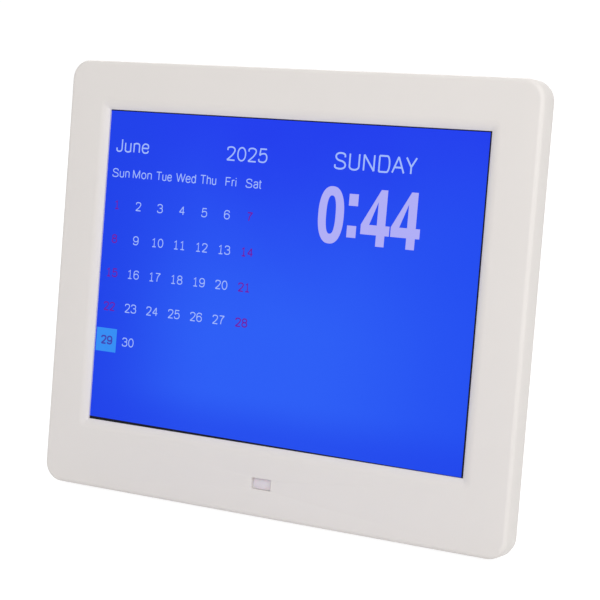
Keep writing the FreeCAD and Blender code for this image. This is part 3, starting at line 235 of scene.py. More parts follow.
def turned(name: str, centre: Pair, profile: Array, steps: int = 48) -> Piece:
    """A round piece whose axis runs straight back from the face: the profile turned about the axis.

    A point of profile (r, d) goes to x = r cos t, up = r sin t, depth = d.

    Args:
        name: Name of the piece.
        centre: The x and up of the axis, in mm.
        profile: Radius and depth of each point, from the front of the axis round to its rear, in mm.
        steps: Steps round the axis.

    Returns:
        The new object.
    """
    turn = np.linspace(0, 2 * math.pi, steps, endpoint=False)
    x = centre[0] + profile[:, :1] * np.cos(turn)
    up = centre[1] + profile[:, :1] * np.sin(turn)
    return grid_mesh(name, LEAN.place(x, up, profile[:, 1:]), flip=True)


def arc(centre: Pair, radius: float, start: float, end: float, steps: int = 8) -> Array:
    """Points of a circular arc between two angles in degrees, as rows of two coordinates."""
    turn = np.radians(np.linspace(start, end, steps + 1))
    return np.stack([centre[0] + radius * np.cos(turn), centre[1] + radius * np.sin(turn)], axis=-1)


def softened(name: str, node: str, width: float, segments: int = 2) -> Piece:
    """Copy a CAD node, merge its loose triangles and round its sharp edges.

    Args:
        name: Name of the new piece.
        node: The CAD node that it replaces.
        width: Width of the rounding, in mm.
        segments: Steps across the rounding.

    Returns:
        The new object, with a Bevel modifier.
    """
    work = bmesh.new()
    work.from_mesh(NODES[node].data)
    bmesh.ops.remove_doubles(work, verts=work.verts, dist=2e-6)
    bmesh.ops.dissolve_limit(work, angle_limit=math.radians(0.4), verts=work.verts, edges=work.edges)
    mesh = bpy.data.meshes.new(name)
    work.to_mesh(mesh)
    work.free()
    shade(mesh)
    piece = link(name, mesh)
    bevel = piece.modifiers.new("edges", "BEVEL")
    bevel.width = width * MM
    bevel.segments = segments
    bevel.limit_method = "ANGLE"
    bevel.angle_limit = SHARP
    bevel.use_clamp_overlap = True
    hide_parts(node)
    return piece


# Shader arithmetic


class Signal:
    """What one socket of a shader carries, with arithmetic that adds Math nodes."""

    def __init__(self, graph: "Graph", socket: bpy.types.NodeSocket) -> None:
        """Keep the socket and the graph that it belongs to."""
        self.graph = graph
        self.socket = socket

    def math(self, operation: str, *others: "float | Signal") -> "Signal":
        """A Math node on this value and others."""
        return self.graph.node("ShaderNodeMath", {"operation": operation}, dict(enumerate((self, *others))))

    def __add__(self, other: "float | Signal") -> "Signal":
        """Sum."""
        return self.math("ADD", other)

    __radd__ = __add__

    def __mul__(self, other: "float | Signal") -> "Signal":
        """Product."""
        return self.math("MULTIPLY", other)

    __rmul__ = __mul__

    def __sub__(self, other: "float | Signal") -> "Signal":
        """Difference."""
        return self.math("SUBTRACT", other)

    def __rsub__(self, other: float) -> "Signal":
        """A number less this value."""
        return self * -1 + other

    def above(self, start: float, end: float) -> "Signal":
        """Smooth step that rises from 0 at start to 1 at end."""
        return self.graph.node(
            "ShaderNodeMapRange", {"interpolation_type": "SMOOTHSTEP"},
            {0: self, 1: start, 2: end, 3: 0.0, 4: 1.0},
        )




def paint(red: int, green: int, blue: int) -> Colour:
    """A linear colour from the eight-bit values in which it is seen."""
    def linear(level: int) -> float:
        """One channel."""
        share = level / 255
        return share / 12.92 if share <= 0.04045 else ((share + 0.055) / 1.055) ** 2.4
    return linear(red), linear(green), linear(blue)


class Graph:
    """The shader nodes of one material, or of the world."""

    def __init__(self, name: str, holder: bpy.types.World | None = None) -> None:
        """Start an empty node tree, in a new material unless the world is given."""
        self.holder = holder or bpy.data.materials.new(name)
        self.holder.use_nodes = True
        self.tree = self.holder.node_tree
        self.tree.nodes.clear()

    def node(self, kind: str, settings: dict | None = None, inputs: dict | None = None,
             output: int | str = 0) -> Signal:
        """Add a node: its settings first, then the values or links of its sockets.

        Args:
            kind: Type of the node.
            settings: Properties of the node.
            inputs: Values or signals by socket name or number.
            output: The output to return.

        Returns:
            The signal of the chosen output.
        """
        node = self.tree.nodes.new(kind)
        for name, setting in (settings or {}).items():
            setattr(node, name, setting)
        for key, given in (inputs or {}).items():
            if isinstance(given, Signal):
                self.tree.links.new(given.socket, node.inputs[key])
            else:
                socket = node.inputs[key]
                socket.default_value = (*given, 1.0) if socket.type == "RGBA" and len(given) == 3 else given
        return Signal(self, node.outputs[output])

    def place(self, scale: Triple = (1, 1, 1), turn: float = 0.0) -> Signal:
        """Object coordinates, turned about x so that they follow the casing, then stretched.

        Args:
            scale: Stretch along x, up the face and out of the face.
            turn: Angle about x, in radians.

        Returns:
            The coordinates, in metres times the scale.
        """
        where = self.node("ShaderNodeTexCoord", output="Object")
        turned_round = self.node("ShaderNodeMapping", {}, {"Vector": where, "Rotation": (turn, 0, 0)})
        return self.node("ShaderNodeVectorMath", {"operation": "MULTIPLY"}, {0: turned_round, 1: scale})

    def noise(self, where: Signal, size: float, detail: float = 2.0, rough: float = 0.5) -> Signal:
        """Noise whose lumps are about size mm across."""
        return self.node(
            "ShaderNodeTexNoise", {},
            {"Vector": where, "Scale": 1 / (size * MM), "Detail": detail, "Roughness": rough},
        )

    def mix(self, share: "float | Signal", first: "Colour | Signal", second: "Colour | Signal") -> Signal:
        """A colour between two, by a share from 0 to 1."""
        return self.node("ShaderNodeMix", {"data_type": "RGBA"}, {0: share, 6: first, 7: second}, output=2)

    def bump(self, height: Signal, depth: float) -> Signal:
        """A bumped normal; depth is the height's full range in mm."""
        return self.node("ShaderNodeBump", {}, {"Height": height, "Distance": depth * MM, "Strength": 1.0})

    def wave(self, where: Signal, period: float, way: str = "X") -> Signal:
        """Even bands that repeat every period mm along an axis."""
        scale = math.pi / (10 * period * MM)
        return self.node("ShaderNodeTexWave", {"bands_direction": way}, {"Vector": where, "Scale": scale})

    def looked_at(self) -> Signal:
        """1 where the camera looks, also by way of a reflection or through clear matter, and 0 elsewhere."""
        path = self.node("ShaderNodeLightPath").socket.node
        seen = Signal(self, path.outputs["Is Camera Ray"])
        for ray in ("Is Glossy Ray", "Is Transmission Ray"):
            seen = seen.math("MAXIMUM", Signal(self, path.outputs[ray]))
        return seen

    def end(self, shader: Signal, kind: str = "ShaderNodeOutputMaterial") -> bpy.types.Material:
        """End the tree with a shader and hand over what holds the tree."""
        end = self.tree.nodes.new(kind)
        self.tree.links.new(shader.socket, end.inputs["Surface"])
        return self.holder

    def surface(self, **inputs: object) -> bpy.types.Material:
        """End the tree with a Principled shader; an underscore in a name stands for a space."""
        named = {name.replace("_", " "): given for name, given in inputs.items()}
        return self.end(self.node("ShaderNodeBsdfPrincipled", {}, named))

    def lit(self, glow: Signal, pixels: Signal) -> bpy.types.Material:
        """End the tree with the display's glowing surface under its satin polariser."""
        return self.surface(
            Base_Color=(0.004, 0.004, 0.008),
            Emission_Color=glow,
            Emission_Strength=1.0,
            Roughness=pixels * 0.08 + 0.38,
            Specular_IOR_Level=0.06,
        )


def toned(colour: Colour, share: float) -> Colour:
    """A darker or lighter tone of a colour, short of pure white."""
    return tuple(min(channel * share, 0.95) for channel in colour)


FACE_TURN = -(math.pi / 2 - LEAN.angle)


# Finishes


@dataclass(frozen=True)
class Moulding:
    """Moulded plastic or rubber: a fine eroded grain, slow mottling and a few specks of dust."""

    name: str
    colour: Colour
    roughness: float
    grain: float = 0.22
    relief: float = 0.004
    mottle: float = 0.02
    dust: float = 0.0
    gleam: float = 0.5

    def material(self) -> bpy.types.Material:
        """Build the shader."""
        graph = Graph(self.name)
        where = graph.place()
        grain = graph.noise(where, self.grain, 3.0, 0.55)
        cloud = graph.noise(where, 26.0, 2.0)
        speck = graph.noise(where, 1.3, 1.0).above(0.74, 0.80) * self.dust
        shade_share = (cloud - 0.5) * (2 * self.mottle) + (grain - 0.5) * self.mottle
        body = graph.mix(shade_share * 2.5 + 0.5, toned(self.colour, 0.80), toned(self.colour, 1.20))
        body = graph.mix(speck, body, toned(self.colour, 0.55))
        return graph.surface(
            Base_Color=body,
            Roughness=(grain - 0.5) * 0.16 + (cloud - 0.5) * 0.08 + self.roughness,
            Specular_IOR_Level=self.gleam,
            Normal=graph.bump(grain, self.relief),
        )


@dataclass(frozen=True)
class Metal:
    """Bare or plated metal with drawn lines, a little tarnish and fine scratches."""

    name: str
    colour: Colour
    roughness: float
    stretch: Triple = (1.0, 1.0, 12.0)
    lines: float = 0.25
    metallic: float = 1.0

    def material(self) -> bpy.types.Material:
        """Build the shader."""
        graph = Graph(self.name)
        drawn = graph.noise(graph.place(self.stretch, FACE_TURN), self.lines, 4.0, 0.6)
        stain = graph.noise(graph.place(), 6.0, 3.0).above(0.45, 0.75)
        return graph.surface(
            Base_Color=graph.mix(stain * 0.45 + (drawn - 0.5) * 0.3, self.colour, toned(self.colour, 0.72)),
            Metallic=self.metallic,
            Roughness=(drawn - 0.5) * 0.25 + stain * 0.12 + self.roughness,
            Normal=graph.bump(drawn, 0.003),
        )


@dataclass(frozen=True)
class CircuitBoard:
    """Green solder mask over copper tracks, with rows of tinned pads and small vias."""

    name: str
    mask: Colour = (0.012, 0.095, 0.035)
    track: Colour = (0.035, 0.19, 0.06)
    pad: Colour = (0.55, 0.53, 0.48)

    def material(self) -> bpy.types.Material:
        """Build the shader."""
        graph = Graph(self.name)
        flat = graph.place((1, 1, 0), FACE_TURN)
        runs = graph.node(
            "ShaderNodeTexBrick", {"offset": 0.37},
            {"Vector": flat, "Scale": 160.0, "Mortar Size": 0.05, "Brick Width": 1.3, "Row Height": 0.16},
            output="Fac",
        )
        cells = graph.node(
            "ShaderNodeTexVoronoi", {"feature": "F1", "distance": "CHEBYCHEV"},
            {"Vector": flat, "Scale": 240.0, "Randomness": 0.75}, output="Distance",
        )
        pads = 1.0 - cells.above(0.13, 0.16)
        chosen = graph.noise(flat, 5.0, 0.0).above(0.52, 0.56)
        shown = pads * chosen
        colour = graph.mix(shown, graph.mix(runs, self.mask, self.track), self.pad)
        return graph.surface(
            Base_Color=colour,
            Metallic=shown * 0.9,
            Roughness=graph.noise(flat, 2.0) * 0.15 + 0.28,
            Normal=graph.bump(runs * 0.4 + shown, 0.03),
        )


@dataclass(frozen=True)
class Ribbon:
    """Flat cable or flexible film with fine conductors along it."""

    name: str
    film: Colour = (0.36, 0.16, 0.03)
    conductor: Colour = (0.62, 0.36, 0.12)
    pitch: float = 0.5

    def material(self) -> bpy.types.Material:
        """Build the shader."""
        graph = Graph(self.name)
        shown = graph.wave(graph.place((1, 0, 0)), 2 * self.pitch).above(0.45, 0.6)
        cloud = graph.noise(graph.place(), 4.0)
        return graph.surface(
            Base_Color=graph.mix(shown * 0.8 + (cloud - 0.5) * 0.3, self.film, self.conductor),
            Roughness=cloud * 0.2 + 0.25,
            Normal=graph.bump(shown, 0.02),
        )


@dataclass(frozen=True)
class Cloth:
    """Plain black weave behind the sound holes."""

    name: str
    colour: Colour = (0.010, 0.010, 0.011)
    thread: float = 0.3

    def material(self) -> bpy.types.Material:
        """Build the shader."""
        graph = Graph(self.name)
        where = graph.place((1, 1, 0), FACE_TURN)
        weave = graph.wave(where, self.thread).math("MAXIMUM", graph.wave(where, self.thread, "Y"))
        lint = graph.noise(where, 0.8, 3.0)
        return graph.surface(
            Base_Color=graph.mix(weave * 0.6 + (lint - 0.5) * 0.5, self.colour, toned(self.colour, 4)),
            Roughness=lint * 0.1 + 0.85,
            Sheen_Weight=0.3,
            Normal=graph.bump(weave, 0.08),
        )


@dataclass(frozen=True)
class ClearSheet:
    """Clear or milky sheet of the display's back light."""

    name: str
    colour: Colour
    roughness: float
    clarity: float

    def material(self) -> bpy.types.Material:
        """Build the shader."""
        graph = Graph(self.name)
        haze = graph.noise(graph.place(), 9.0, 3.0)
        dots = graph.node(
            "ShaderNodeTexVoronoi", {}, {"Vector": graph.place(), "Scale": 900.0, "Randomness": 0.1},
            output="Distance",
        ).above(0.25, 0.35)
        return graph.surface(
            Base_Color=graph.mix(haze * 0.5 + (1.0 - dots) * 0.3, self.colour, toned(self.colour, 0.9)),
            Roughness=haze * 0.1 + self.roughness,
            Transmission_Weight=self.clarity,
            Normal=graph.bump(dots, 0.005),
        )


@dataclass(frozen=True)
class InfraredLens:
    """Pale violet-grey lens, a little deeper in colour in soft random patches."""

    name: str
    colour: Colour = paint(224, 217, 221)
    deep: Colour = paint(215, 207, 214)

    def material(self) -> bpy.types.Material:
        """Build the shader."""
        graph = Graph(self.name)
        haze = graph.noise(graph.place(), 3.0, 2.0)
        return graph.surface(
            Base_Color=graph.mix(haze, self.colour, self.deep),
            Roughness=haze * 0.08 + 0.22,
            Subsurface_Weight=0.2,
            Subsurface_Scale=0.0008,
            Coat_Weight=0.25,
            Normal=graph.bump(haze, 0.01),
        )


@dataclass(frozen=True)
class DarkGlass:
    """Black margin of the glass under its satin polariser."""

    name: str
    colour: Colour = (0.004, 0.004, 0.006)

    def material(self) -> bpy.types.Material:
        """Build the shader."""
        graph = Graph(self.name)
        haze = graph.noise(graph.place(), 0.5, 3.0)
        return graph.surface(
            Base_Color=graph.mix(haze * 0.4, self.colour, (0.02, 0.02, 0.03)),
            Roughness=haze * 0.1 + 0.30,
            Specular_IOR_Level=0.08,
            Normal=graph.bump(haze, 0.002),
        )


@dataclass(frozen=True)
class LitImage:
    """Blue ground of the lit display: deeper along its edges, lighter low in the middle."""

    name: str
    top: Colour = paint(24, 58, 236)
    low: Colour = paint(38, 93, 245)
    side: Colour = paint(22, 73, 239)
    left: Colour = paint(18, 61, 231)

    def material(self) -> bpy.types.Material:
        """Build the shader."""
        graph = Graph(self.name)
        where = graph.place((1, 1, 1), FACE_TURN)
        split = graph.node("ShaderNodeSeparateXYZ", {}, {0: where}).socket.node
        x = Signal(graph, split.outputs[0])
        up = Signal(graph, split.outputs[1])
        cloud = graph.noise(where, 45.0, 2.0)
        fall = (1.0 - up.above(0.058, 0.150)) + (cloud - 0.5) * 0.30
        ground = graph.mix(fall, self.top, self.low)
        edge = x.above(0.01, 0.095) * (1.0 - up.above(0.09, 0.15))
        ground = graph.mix(edge * 0.8, ground, self.side)
        ground = graph.mix((1.0 - x.above(-0.085, -0.025)) * 0.9, ground, self.left)
        ground = graph.mix((1.0 - up.above(0.026, 0.044)) * 0.6, ground, self.left)
        pixels = graph.noise(where, 0.35, 2.0)
        return graph.lit(graph.mix((pixels - 0.5) * 0.10 + 0.05, ground, self.top), pixels)


@dataclass(frozen=True)
class LitInk:
    """One colour of the lit lettering, uneven from pixel to pixel."""

    name: str
    colour: Colour

    def material(self) -> bpy.types.Material:
        """Build the shader."""
        graph = Graph(self.name)
        pixels = graph.noise(graph.place(), 0.4, 2.0)
        return graph.lit(graph.mix(pixels, self.colour, toned(self.colour, 0.92)), pixels)


class Finish(Enum):
    """Every finish of the clock, by what it covers; most bear the name of their slot in the record."""

    BEZEL = Moulding(
        "white_abs", paint(223, 218, 214), 0.46, grain=0.30, relief=0.0030, mottle=0.012, gleam=0.45,
    )
    REAR = Moulding("white_abs_rear", paint(219, 214, 210), 0.60, grain=0.45, relief=0.020, mottle=0.014)
    LEG = Moulding("white_abs_leg", paint(219, 214, 210), 0.56, grain=0.40, relief=0.014, mottle=0.014)
    CAP = Moulding("button_white", paint(211, 208, 205), 0.40, grain=0.18, relief=0.003, mottle=0.012)
    MARK = Moulding("button_mark", paint(112, 112, 116), 0.55, grain=0.12, relief=0.002, mottle=0.05)
    LENS = InfraredLens("lens")
    FOAM = Moulding("foam", (0.018, 0.018, 0.018), 0.95, grain=0.25, relief=0.06, mottle=0.2)
    STEEL = Metal("steel", (0.52, 0.52, 0.52), 0.34)
    GLASS = DarkGlass("screen")
    FILM = ClearSheet("film", (0.78, 0.78, 0.82), 0.35, 0.0)
    TRAY = Moulding("grey_plastic", paint(188, 188, 188), 0.55, relief=0.008)
    ACRYLIC = ClearSheet("acrylic", (0.82, 0.88, 0.90), 0.06, 0.8)
    LAMP = Moulding("lamp", (0.75, 0.70, 0.42), 0.35, mottle=0.08)
    RIBBON = Ribbon("ribbon")
    CREAM = Moulding("cream_plastic", paint(218, 210, 186), 0.45)
    ZINC = Metal("zinc_screw", (0.62, 0.62, 0.64), 0.22, stretch=(1, 1, 1), lines=0.4)
    BLACK = Moulding("black_plastic", (0.012, 0.012, 0.014), 0.48, relief=0.008, mottle=0.08)
    BOARD = CircuitBoard("circuit_board")
    CAN = Metal("capacitor", (0.60, 0.60, 0.62), 0.28)
    BRASS = Metal("brass", (0.66, 0.46, 0.16), 0.22, stretch=(6, 1, 1))
    CONE = Moulding("paper_cone", (0.03, 0.03, 0.03), 0.9, grain=0.8, relief=0.05, mottle=0.15)
    MAGNET = Moulding("magnet", (0.035, 0.035, 0.037), 0.5, grain=0.5, relief=0.02, mottle=0.2)
    CLOTH = Cloth("cloth")
    WIRE = Moulding("wire", (0.42, 0.03, 0.02), 0.42, relief=0.003)
    RUBBER = Moulding("rubber", (0.030, 0.030, 0.032), 0.78, grain=0.35, relief=0.02, mottle=0.12)
    GROUND = LitImage("lit_ground")
    PALE = LitInk("lit_pale", paint(164, 189, 255))
    TIME = LitInk("lit_time", paint(179, 177, 249))
    WEEKEND = LitInk("lit_weekend", paint(106, 18, 168))
    TODAY = LitInk("lit_today", paint(50, 144, 248))
    TODAY_NUMBER = LitInk("lit_today_number", paint(62, 64, 178))


MATERIALS: dict[Finish, bpy.types.Material] = {}


def dress(piece: Piece, finish: Finish) -> Piece:
    """Give a piece its finish, building the material when it is first asked for."""
    if finish not in MATERIALS:
        MATERIALS[finish] = finish.value.material()
    piece.data.materials.clear()
    piece.data.materials.append(MATERIALS[finish])
    return piece


def mount(piece: Piece, body: str, finish: Finish) -> Piece:
    """Dress a new piece, let it ride on a body and log which body that is."""
    dress(piece, finish)
    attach(piece, body)
    LOG.info("%s rides on %s", piece.name, body)
    return piece


def dress_node(node: str, finish: Finish | None = None) -> None:
    """Give a CAD node the finish that bears its slot's name, or else the one that is named."""
    dress(NODES[node], finish or next(each for each in Finish if each.value.name == SLOTS[node]))
    LOG.info("%s keeps its CAD shape", node)


# Lettering


def line(*places: float) -> Array:
    """A stroke that runs straight from corner to corner; places are the x and up of each corner in turn."""
    return np.array(places, float).reshape(-1, 2)


def curve(*places: float, closed: bool = False, weight: float = 0.78, steps: int = 8) -> Array:
    """A stroke that is drawn in towards each corner c between the middles a and b of its two sides.

    Its points are ((1 - t)^2 a + 2 w t (1 - t) c + t^2 b) / ((1 - t)^2 + 2 w t (1 - t) + t^2). The weight w
    lies a little over cos 45 degrees, which would give a quarter of an ellipse.

    Args:
        places: The x and up of each corner in turn.
        closed: Whether the last corner leads back to the first.
        weight: How strongly a corner draws.
        steps: Points to a corner.

    Returns:
        Rows of x and up; a closed stroke ends where it starts.
    """
    corners = line(*places)
    ahead = (corners + np.roll(corners, -1, axis=0)) / 2
    behind = np.roll(ahead, 1, axis=0)
    drawn = slice(None) if closed else slice(1, -1)
    share = np.linspace(0, 1, steps)[None, :, None]
    first, pull, last = (1 - share) ** 2, 2 * weight * share * (1 - share), share**2
    bend = first * behind[drawn, None] + pull * corners[drawn, None] + last * ahead[drawn, None]
    path = (bend / (first + pull + last)).reshape(-1, 2)
    path = np.vstack([path, path[:1]]) if closed else np.vstack([corners[:1], path, corners[-1:]])
    return path[np.concatenate([[True], np.linalg.norm(np.diff(path, axis=0), axis=1) > 1e-6])]


def loop(*places: float) -> Array:
    """A closed curve."""
    return curve(*places, closed=True)


# Each character's width, the space before and after it and the middle lines of its strokes, all in hundredths
# of the capitals' height.
GLYPHS = {
    "0": (64, 12, 12, loop(0, 0, 64, 0, 64, 100, 0, 100)),
    "1": (64, 12, 12, line(9, 80, 33, 100, 33, 0), line(7, 0, 57, 0)),
    "2": (64, 12, 12, curve(2, 74, 2, 100, 62, 100, 62, 56, 0, 0), line(0, 0, 64, 0)),
    "3": (64, 12, 12, curve(2, 78, 4, 100, 60, 100, 60, 54, 26, 54), curve(26, 54, 64, 54, 64, 0, 0, 0, 0, 24)),
    "4": (64, 12, 12, line(48, 0, 48, 100), line(48, 98, 0, 30), line(0, 30, 66, 30)),
    "5": (64, 12, 12, line(60, 100, 11, 100, 5, 50), curve(5, 50, 20, 66, 64, 66, 64, 0, 0, 0, 0, 24)),
    "6": (64, 12, 12, loop(0, 0, 64, 0, 64, 62, 0, 62), curve(61, 78, 58, 100, 0, 100, 0, 31)),
    "7": (64, 12, 12, line(0, 100, 62, 100), curve(62, 100, 26, 60, 20, 0)),
    "8": (64, 12, 12, loop(4, 54, 60, 54, 60, 100, 4, 100), loop(0, 0, 64, 0, 64, 54, 0, 54)),
    "9": (64, 12, 12, loop(0, 38, 64, 38, 64, 100, 0, 100), curve(3, 22, 6, 0, 64, 0, 64, 69)),
    "A": (80, 9, 7, line(0, 0, 40, 100), line(40, 100, 80, 0), line(14, 34, 66, 34)),
    "D": (71, 18, 13, line(0, 0, 0, 100), curve(0, 100, 34, 100, 71, 100, 71, 0, 34, 0, 0, 0)),
    "F": (58, 18, 8, line(0, 0, 0, 100, 58, 100), line(0, 52, 50, 52)),
    "J": (46, 6, 16, curve(46, 100, 46, 50, 46, 0, 0, 0, 0, 30)),
    "M": (86, 17, 17, line(0, 0, 0, 100), line(0, 100, 43, 2), line(43, 2, 86, 100), line(86, 100, 86, 0)),
    "N": (72, 18, 18, line(0, 0, 0, 100), line(0, 100, 72, 0), line(72, 0, 72, 100)),
    "S": (74, 14, 14, curve(70, 74, 68, 100, 4, 100, 4, 55, 74, 47, 74, 0, 0, 0, 0, 26)),
    "T": (76, 6, 6, line(0, 100, 76, 100), line(38, 100, 38, 0)),
    "U": (67, 16, 16, curve(0, 100, 0, 44, 0, 0, 67, 0, 67, 44, 67, 100)),
    "W": (116, 4, 4, line(0, 100, 29, 0), line(29, 0, 58, 100), line(58, 100, 87, 0), line(87, 0, 116, 100)),
    "Y": (70, 7, 7, line(0, 100, 35, 42), line(70, 100, 35, 42), line(35, 46, 35, 0)),
    "a": (48, 12, 14, curve(3, 56, 4, 74, 48, 74, 48, 48, 48, 0), curve(48, 44, 0, 40, 0, 0, 44, 0, 48, 20)),
    "d": (50, 12, 15, loop(0, 0, 50, 0, 50, 74, 0, 74), line(50, 100, 50, 0)),
    "e": (54, 12, 12, line(0, 39, 54, 39), curve(54, 39, 54, 74, 0, 74, 0, 0, 50, 0, 54, 20)),
    "h": (48, 15, 14, line(0, 100, 0, 0), curve(0, 44, 0, 74, 48, 74, 48, 40, 48, 0)),
    "i": (0, 15, 15, line(0, 74, 0, 0), line(0, 103, 0, 91)),
    "n": (48, 15, 14, line(0, 74, 0, 0), curve(0, 44, 0, 74, 48, 74, 48, 40, 48, 0)),
    "o": (56, 12, 12, loop(0, 0, 56, 0, 56, 74, 0, 74)),
    "r": (28, 15, 6, line(0, 74, 0, 0), curve(0, 40, 2, 73, 28, 73)),
    "t": (28, 6, 8, curve(11, 96, 11, 36, 11, 0, 28, 0), line(0, 74, 28, 74)),
    "u": (48, 14, 15, curve(0, 74, 0, 34, 0, 0, 48, 0, 48, 30), line(48, 74, 48, 0)),
}


def band(path: Array, width: float, blunt: float = 0.6) -> tuple[Array, Array]:
    """A stroke of even width about its middle line: each point moved to both sides along the corner's mitre.

    Args:
        path: Rows of x and up; closed if it ends where it starts.
        width: Width of the stroke.
        blunt: Least divisor of a mitre, which keeps the tip of a sharp corner short.

    Returns:
        The points, right side and left side in turn, and the four-sided faces between them.
    """
    along = np.diff(path, axis=0)
    along /= np.linalg.norm(along, axis=1)[:, None]
    closed = bool(np.allclose(path[0], path[-1]))
    before = np.vstack([along[-1:] if closed else along[:1], along])
    after = np.vstack([along, along[:1] if closed else along[-1:]])
    mitre = (before + after) / np.maximum(1 + np.sum(before * after, axis=1), blunt)[:, None]
    side = np.column_stack([-mitre[:, 1], mitre[:, 0]]) * width / 2
    points = np.stack([path - side, path + side], axis=1).reshape(-1, 2)
    start = np.arange(len(path) - 1)[:, None] * 2
    return points, start + [0, 2, 3, 1]


def write(text: str, box: Box, stroke: float) -> tuple[Array, Array]:
    """Lettering whose ink fills a box.

    Args:
        text: The characters.
        box: Left, right, low and high of the ink.
        stroke: Width of the strokes.

    Returns:
        Rows of x, up and the number of the point's stroke, and the faces.
    """
    paths, pen = [], 0.0
    for character in text:
        width, before, after, *strokes = GLYPHS[character]
        pen += before
        paths += [path + (pen, 0) for path in strokes]
        pen += width + after
    spread = np.vstack(paths)
    low, high = spread.min(axis=0), spread.max(axis=0)
    left, right, bottom, top = box
    start = np.array([left, bottom]) + stroke / 2
    scale = (np.array([right, top]) - stroke / 2 - start) / (high - low)
    bands = (band(start + (path - low) * scale, stroke) for path in paths)
    return joined([(np.column_stack([ink, np.full(len(ink), number)]), faces)
                   for number, (ink, faces) in enumerate(bands)])


# Sub-assemblies


@dataclass
class Casing:
    """Front shell: a frame with a sloped lip round the screen and a rounded outer edge, in mm."""

    half_width: float = 100.3
    height: float = 167.6
    depth: float = 9.0
    corner: float = 7.5
    edge: float = 1.8
    rear_edge: float = 0.5
    wall: float = 2.2
    skin: float = 1.8
    opening_half: float = 81.45
    opening_low: float = 26.7
    opening_high: float = 148.8
    lip: float = 4.2
    lip_depth: float = 1.5
    mitre: float = 0.15
    mitre_growth: float = 0.75
    smallest_corner: float = 0.3
    sill: float = 0.12
    rim: float = 1.2
    rim_depth: float = 2.25
    window: Pair = (0.4, 12.6)
    window_half: Pair = (4.2, 2.1)
    window_corner: float = 0.5
    window_soft: float = 0.35
    window_reach: Pair = (-1.0, 4.0)

    def shell(self) -> Piece:
        """The shell as rounded rectangles carried round a closed profile.

        Outside, a row is the outer outline drawn in by an inset; inside, it is the screen opening let out by
        an outset. The insets, outsets and depths follow the wall's section: lip, face, edge, side and back.
        """
        slope = 2 * math.atan2(self.lip_depth, self.lip)
        bend = self.lip / math.sin(slope)
        inner = np.vstack([
            [(self.lip + self.edge, self.skin), (self.rim, self.skin), (self.rim, self.rim_depth)],
            [(0, self.rim_depth), (0, self.lip_depth + self.sill)],
            arc((self.lip, bend), bend, -90 - math.degrees(slope), -90, steps=14),
        ])
        outer = np.vstack([
            arc((self.edge, self.edge), self.edge, 270, 180, steps=10),
            arc((self.rear_edge, self.depth - self.rear_edge), self.rear_edge, 180, 90, steps=4),
            [(self.wall, self.depth), (self.wall, self.skin)],
        ])
        inset, outset = outer[:, 0], inner[:, 0]
        x, up = rings(
            np.concatenate([self.half_width - inset, self.opening_half + outset]),
            np.concatenate([inset, self.opening_low - outset]),
            np.concatenate([self.height - inset, self.opening_high + outset]),
            np.concatenate([
                np.maximum(self.corner - inset, self.smallest_corner), self.mitre + self.mitre_growth * outset,
            ]),
            steps=10,
        )
        depth = np.concatenate([outer[:, 1], inner[:, 1]])[:, None]
        return grid_mesh("front_shell", LEAN.place(x, up, depth), wrap_rows=True)

    def window_cutter(self) -> Piece:
        """A plug with the window's outline, flared at the face by a quarter round."""
        soft, quarter = self.window_soft, np.radians(np.linspace(0, 90, 6))
        grow = np.concatenate([[soft], soft - soft * np.sin(quarter), [0.0]])
        front, rear = self.window_reach
        depth = np.concatenate([[front], soft * (1 - np.cos(quarter)), [rear]])
        (across, middle), (half, tall) = self.window, self.window_half
        low, high = middle - tall - grow, middle + tall + grow
        x, up = rings(half + grow, low, high, self.window_corner + grow, steps=6)
        plug = grid_mesh("window_cutter", LEAN.place(x + across, up, depth[:, None]), flip=True)
        work = bmesh.new()
        work.from_mesh(plug.data)
        bmesh.ops.holes_fill(work, edges=work.edges)
        bmesh.ops.recalc_face_normals(work, faces=work.faces)
        work.to_mesh(plug.data)
        work.free()
        return plug

    def build(self) -> None:
        """Make the shell, cut the window and dress both."""
        shell = self.shell()
        cutter = self.window_cutter()
        cut = shell.modifiers.new("window", "BOOLEAN")
        cut.object = cutter
        cut.operation = "DIFFERENCE"
        cut.solver = "EXACT"
        graph = bpy.context.evaluated_depsgraph_get()
        mesh = bpy.data.meshes.new_from_object(shell.evaluated_get(graph))
        shell.modifiers.clear()
        shell.data = mesh
        shade(mesh)
        bpy.data.objects.remove(cutter)
        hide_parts("front_bezel")
        mount(shell, "case", Finish.BEZEL)
        dress_node("ir_window")


